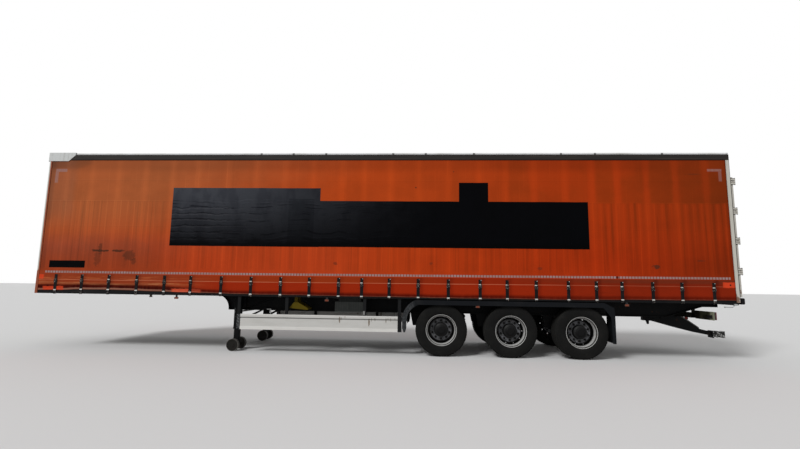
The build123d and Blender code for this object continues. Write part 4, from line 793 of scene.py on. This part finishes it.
# Drips, as (x, top, foot, half width, strength)
DRIPS = ((-0.833, 0.725, 0.605, 0.016, 0.9), (-0.800, 0.718, 0.655, 0.012, 0.6),
         (-0.727, 0.738, 0.695, 0.012, 0.5), (-0.257, 0.702, 0.550, 0.015, 1.0),
         (-0.211, 0.712, 0.640, 0.010, 0.6), (-0.143, 0.712, 0.652, 0.011, 0.8),
         (0.070, 0.706, 0.616, 0.011, 0.8), (0.108, 0.715, 0.675, 0.010, 0.5),
         (0.161, 0.717, 0.648, 0.011, 0.6), (0.244, 0.718, 0.668, 0.010, 0.5))
drips = functools.reduce(Wire.most, [
    look.spot(drip_x, (top + foot) / 2, reach, (top - foot) / 2, ragged) * strength
    for drip_x, top, foot, reach, strength in DRIPS])
dull = look.rise(look.grain((0.5, 0.1, 0.12), 5, 0.6, 5.0), 0.4, 0.75)
look.cover((0.39, 0.385, 0.36), dull * 0.6)
look.cover((0.10, 0.060, 0.022), drips * 0.85)
# Painted shade in the groove
groove = look.within(look.z, 0.666, 0.686, 0.004)
look.cover((0.13, 0.13, 0.125), groove * 0.8)
# Painted highlight along the top and bottom lips
lip = look.rise(look.z, 0.724, 0.734) + look.rise(look.z, 0.508, 0.500)
look.shade((1.28, 1.28, 1.28), lip * 0.8)
dress(look.done(0.48 + dull * 0.2, scratch, 0.0003, 0.1), "side_guards")

# The hangers are black, with a zinc clip and a zinc patch, and a worn pattern on the front end cap
look = Finish("guard_hanger", BLACK_PAINT)
scuff = look.grain((0.03, 0.03, 0.03), 4, 0.6)
clip = look.within(look.x, -2.28, -2.18, 0.003) * look.rise(look.z, 0.745, 0.748)
patch = look.within(look.x, -0.41, -0.345, 0.004) * look.within(look.z, 0.760, 0.835, 0.004)
cap = look.within(look.x, -2.862, -2.805, 0.003) * look.within(look.z, 0.47, 0.735, 0.01)
CAP_X, CHEVRON_PITCH = -2.833, 0.028
chevron = look.zigzag(look.z + abs(look.x - CAP_X) * 0.8, CHEVRON_PITCH)
look.cover(ROAD_DUST, look.rise(scuff, 0.5, 0.8) * 0.1)
look.cover((0.19, 0.20, 0.205), cap * look.rise(chevron, 0.006, 0.010) * look.rise(scuff, 0.35, 0.6))
look.cover((0.24, 0.24, 0.235), (clip + patch) * (0.4 + scuff * 0.6))
dress(look.done(0.6, scuff, 0.0005), "guard_hangers")

# Mudguards
# Black moulded plastic arches, greyed by dust along the edges, hung from the cross members.
look = Finish("mudguard_plastic", (0.0068, 0.0077, 0.0092))
fine = look.grain((0.015, 0.015, 0.015), 4, 0.6)
dots = look.grain((0.012, 0.012, 0.03), 1, 0.5, 4.0)
look.cover((0.030, 0.030, 0.029), look.rise(look.grain((0.3, 0.3, 0.3), 4), 0.5, 0.9) * 0.4)
front = look.rise(look.x + look.z * 0.12, 0.76, 0.68) * look.rise(abs(look.y), 1.15, 1.17)
look.cover((0.050, 0.053, 0.055), front * (0.25 + look.rise(dots, 0.40, 0.60) * 0.55))
dress(look.done(0.72 + fine * 0.15, fine, 0.0005, gloss=0.06), "mudguards")

# Storage box and chocks
# A ribbed box of dark grey steel, and two wheel chocks of yellow plastic in their holders.
RIB_PITCH = 0.048
look = Finish("box_grey", (0.0125, 0.0140, 0.0130))
rib = look.zigzag(look.x, RIB_PITCH)
dust = look.rise(look.grain((0.12, 0.12, 0.12), 4), 0.45, 0.75)
# Painted highlight along each rib, and dust in patches
look.cover((0.030, 0.031, 0.029), look.rise(rib, 0.019, 0.022) * 0.6 + dust * 0.25)
box_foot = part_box("storage_box")[0].z
look.cover((0.045, 0.048, 0.046), look.rise(look.z, box_foot + 0.016, box_foot + 0.012))
dress(look.done(0.6, rib, 0.001), "storage_box")
dress(chassis_finish("chock_yellow", (0.072, 0.050, 0.0014), 0.10, 0.05), "wheel_chocks")

# Lamps and underrun beam
# Ribbed lenses in black housings, and a zinc coated beam with a plate at each end, darkened along its middle
# by painted shade from the body above.
LAMP_X = (-4.120, -1.098, 1.829, 4.624)
look = Finish("amber_lens", (0.145, 0.026, 0.0060))
ribs = look.make("ShaderNodeTexWave", {"wave_type": "BANDS", "bands_direction": "X"},
                 {"Vector": look.place, "Scale": 60.0}, out=1)
from_lamp = functools.reduce(Wire.least, [abs(look.x - lamp_x) for lamp_x in LAMP_X])
look.cover((0.050, 0.030, 0.022), look.rise(from_lamp, 0.028, 0.032))
look.cover((0.008, 0.008, 0.009), look.rise(look.z, 1.046, 1.048))
dress(look.done(0.35, ribs, 0.0006, gloss=0.35), "side_marker_lamps")
look = Finish("red_lens", (0.012, 0.011, 0.011))
ribs = look.make("ShaderNodeTexWave", {"wave_type": "BANDS", "bands_direction": "Z"},
                 {"Vector": look.place, "Scale": 40.0}, out=1)
look.cover((0.070, 0.0060, 0.0060), look.rise(look.x, 6.262, 6.266))
dress(look.done(0.3, ribs, 0.0006, gloss=0.4), "rear_lamps")
beam_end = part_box("underrun_beam")[1].y
# The dark coat is painted shade from the body above; it lightens outwards, and the end plates are lightest
look = Finish("beam_zinc", (0.015, 0.013, 0.010))
scuff = look.grain((0.04, 0.04, 0.04), 4, 0.6)
outer, end = (look.rise(abs(look.y), low, high)
              for low, high in ((0.72, 0.80), (beam_end - 0.13, beam_end - 0.10)))
blot = look.within(abs(look.y), 0.84, 1.03, 0.04) * look.rise(look.z + scuff * 0.03, 0.89, 0.86)
look.cover((0.055, 0.056, 0.034), outer * (1 - blot * 0.8))
look.cover((0.21, 0.215, 0.150), end * (0.6 + scuff * 0.5))
dress(look.done(0.55, scuff, 0.0004), "underrun_beam")
look = Finish("coupling_zinc", (0.020, 0.020, 0.019))
scuff = look.grain((0.035, 0.035, 0.030), 3, 0.6, 5.0)
# The coupling is dark, with bright patches that are partly worn zinc and partly painted highlight
zinc = look.rise(scuff, 0.50, 0.62)
look.cover((0.42, 0.42, 0.41), zinc)
dress(look.done(0.4, scuff, 0.0006, zinc * 0.6), "drawbar_coupling")

# A zinc coated rail for the air line lies on the towing frame's slope, and carries a red coupling
SLOPE_TOP, SLOPE_FOOT = np.array([6.215, 0.784]), np.array([6.600, 0.5335])
slope_points = [SLOPE_TOP, SLOPE_FOOT, SLOPE_FOOT + (0, 0.020), SLOPE_TOP + (0, 0.036)]
rail = (np.array([(px, y, pz) for y in (-0.050, -0.020) for px, pz in slope_points]),
        [(0, 1, 2, 3), (7, 6, 5, 4), (0, 4, 5, 1), (1, 5, 6, 2), (2, 6, 7, 3), (3, 7, 4, 0)])
rail_zinc = bare_metal("rail_zinc", (0.085, 0.080, 0.074), 0.3, 0.5, 0.4, 0.02)
ONE_PLACE = [(0.0, 0.0, 0.0, 1)]
add_fittings("air_line_rail", rail, ONE_PLACE, rail_zinc, 0.003)
look = Finish("coupling_red", (0.17, 0.014, 0.009))
worn = look.rise(look.grain((0.02, 0.02, 0.02), 3), 0.5, 0.7)
look.cover((0.05, 0.012, 0.008), worn)
red_head = brick(6.328, 6.394, -0.052, -0.018, 0.712, 0.775)
add_fittings("air_coupling_head", red_head, ONE_PLACE, look.done(0.5, worn, 0.0004), 0.010, 4)

# Wheels
# Ten-bolt discs: a silver lip and barrel, a grey disc with dark nuts, and a black hub. Each wheel's
# pattern is worked out from the distance to its own axle.
AXLE_FIRST, AXLE_STEP, AXLE_HEIGHT = 1.135, 1.33, 0.498
WHEEL_MIDDLE = 1.020
NUT_STEP, NUT_CIRCLE = math.pi / 5, 0.176
ROWS, SIDES = ("front", "middle", "rear"), ("left", "right")
BLACK = (0.0022, 0.0022, 0.0024)


def round_axle(look):
    """How far a point lies behind its own wheel's axle, above it, and from it in all."""
    cell = look.make("ShaderNodeMath", {"operation": "WRAP"},
                     {0: look.x, 1: AXLE_FIRST + AXLE_STEP / 2, 2: AXLE_FIRST - AXLE_STEP / 2})
    dx, dz = cell - AXLE_FIRST, look.z - AXLE_HEIGHT
    return dx, dz, (dx * dx + dz * dz).root()


look = Finish("wheel_silver", BLACK)
dx, dz, radius = round_axle(look)
grit = look.grain((0.03, 0.03, 0.03), 5, 0.65)
silver = look.blend((0.43, 0.43, 0.42), (0.22, 0.21, 0.20), look.rise(grit, 0.45, 0.75) * 0.6)
disc = look.blend((0.125, 0.128, 0.138), (0.050, 0.050, 0.050), look.rise(grit, 0.42, 0.62))
outward = abs(look.y) - WHEEL_MIDDLE
barrel = look.rise(outward, 0.030, 0.060) * look.rise(radius, 0.250, 0.254)
look.cover(disc, look.within(radius, 0.140, 0.208, 0.004))
look.cover(silver, barrel)
flange = look.rise(outward, 0.118, 0.124) * (1 - look.within(radius, 0.2885, 0.2965, 0.001))
look.cover((0.060, 0.059, 0.056), flange)
turn = dz.maths("ARCTAN2", dz, dx)
beside_nut, from_circle = (NUT_STEP / 2 - look.zigzag(turn, NUT_STEP)) * radius, radius - NUT_CIRCLE
nut_gap = beside_nut * beside_nut + from_circle * from_circle
look.cover(BLACK, look.rise(nut_gap, 0.0250 ** 2, 0.0205 ** 2))
look.cover((0.009, 0.009, 0.009), look.within(radius, 0.096, 0.128, 0.003))
dress(look.done(0.42 + grit * 0.2, grit, 0.0004, barrel * 0.35),
      *(f"rim_{row}_{side}" for row in ROWS for side in SIDES))

# Tyres
# Wide single tyres with four straight grooves and slotted shoulders, dull black with a sidewall paled by
# dust, and a painted highlight along its moulded rings and its shoulders.
TREAD_SIDES = 240
GROOVES = (-0.105, -0.038, 0.038, 0.105)
GROOVE_HALF, GROOVE_DEPTH, SLOT_DEPTH = 0.0055, 0.011, 0.007
TREAD_RADIUS, TREAD_HALF = 0.4978, 0.148


def tyre_profile():
    """The outline from bead to bead as (radius, outward distance), with the grooves cut in."""
    wall = [(0.2865, -0.149), (0.302, -0.151), (0.310, -0.170), (0.330, -0.181), (0.360, -0.1878),
            (0.400, -0.1895), (0.435, -0.1868), (0.462, -0.1820), (0.480, -0.1765), (0.491, -0.1695),
            (0.4965, -0.158)]
    tread = [(TREAD_RADIUS, -TREAD_HALF)]
    for middle in GROOVES:
        for step, depth in ((-1.0, 0.0), (-0.75, 1.0), (0.75, 1.0), (1.0, 0.0)):
            tread.append((TREAD_RADIUS - depth * GROOVE_DEPTH, middle + step * GROOVE_HALF))
    tread.append((TREAD_RADIUS, TREAD_HALF))
    return np.array(wall + tread + [(r, -y) for r, y in wall[::-1]])


profile = tyre_profile()
turn = np.linspace(0, 2 * np.pi, TREAD_SIDES, endpoint=False)
slotted = np.arange(TREAD_SIDES) % 4 == 0
shoulder = (np.abs(profile[:, 1]) > 0.135) & (np.abs(profile[:, 1]) < 0.172) & (profile[:, 0] > 0.48)
radius_grid = np.broadcast_to(profile[:, 0], (TREAD_SIDES, len(profile))).copy()
radius_grid[np.ix_(slotted, shoulder)] -= SLOT_DEPTH
WALL_DUST_AND_SHEEN = (0.030, 0.029, 0.026)
look = Finish("tyre_black", (0.0062, 0.0062, 0.0060))
radius = round_axle(look)[2]
fine = look.grain((0.012, 0.012, 0.012), 4, 0.6)
dust = look.rise(look.grain((0.22, 0.22, 0.22), 4, 0.6, 1.0), 0.45, 0.85)
rings = look.within(radius, 0.318, 0.322, 0.001) + look.within(radius, 0.398, 0.401, 0.001)
rings = rings + look.within(radius, 0.452, 0.456, 0.001)
# Dust on the sidewall, and painted highlight along the moulded rings
look.cover(WALL_DUST_AND_SHEEN, dust * 0.22 + rings * 0.12)
# Painted highlight along the rounded shoulder
look.cover(WALL_DUST_AND_SHEEN, look.rise(radius, 0.484, 0.494) * (0.15 + fine * 0.25))
tyre_black = look.done(0.74 + fine * 0.15, fine * 0.3 + rings, 0.0014, gloss=0.08)
for number, row in enumerate(ROWS):
    for side, name in zip((-1, 1), SIDES):
        axle_x = AXLE_FIRST + AXLE_STEP * number
        y = side * WHEEL_MIDDLE + profile[:, 1]
        points = np.stack([axle_x + radius_grid * np.cos(turn)[:, None],
                           np.broadcast_to(y, radius_grid.shape),
                           AXLE_HEIGHT + radius_grid * np.sin(turn)[:, None]], axis=-1)
        mesh = surface(f"tyre_tread_{row}_{name}", points, wrap_rows=True, wrap_columns=True)
        tyre = add_piece(mesh, tyre_black, f"wheel_{row}_{name}")
        mesh.set_sharp_from_angle(angle=math.radians(35))
        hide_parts(f"tyre_{row}_{name}")

# Floor, lamp and backdrop
# A plain pale floor under an even white sky, with one broad lamp above the near side.
FLOOR_SIZE = 150.0
floor_mesh = surface("studio_floor", np.array([[(side_x * FLOOR_SIZE, side_y * FLOOR_SIZE, 0.0)
                                                for side_y in (-1, 1)] for side_x in (-1, 1)]))
floor_mesh.materials.append(Finish("studio_floor", (0.62, 0.62, 0.62)).done(0.9))
floor = bpy.data.objects.new("studio_floor", floor_mesh)
bpy.context.scene.collection.objects.link(floor)

SKY_LIGHT = 0.55
world = bpy.data.worlds.new("studio")
bpy.context.scene.world = world
world.use_nodes = True
rays = world.node_tree.nodes.new("ShaderNodeLightPath")
seen = functools.reduce(Wire.most, [Wire(world.node_tree, rays.outputs[f"Is {kind} Ray"])
                                    for kind in ("Camera", "Glossy", "Transmission")])
background = world.node_tree.nodes["Background"]
background.inputs["Color"].default_value = (1, 1, 1, 1)
world.node_tree.links.new((SKY_LIGHT + seen * (1 - SKY_LIGHT)).socket, background.inputs["Strength"])

LAMP_HEADING = Vector((0.45, 0.60, -0.66))
lamp_data = bpy.data.lights.new("broad_lamp", "SUN")
lamp_data.angle = 0.30
lamp_data.energy = 2.15
lamp = bpy.data.objects.new("broad_lamp", lamp_data)
bpy.context.scene.collection.objects.link(lamp)
lamp.rotation_euler = LAMP_HEADING.to_track_quat("-Z", "Y").to_euler()

bpy.context.scene.view_settings.view_transform = "Standard"
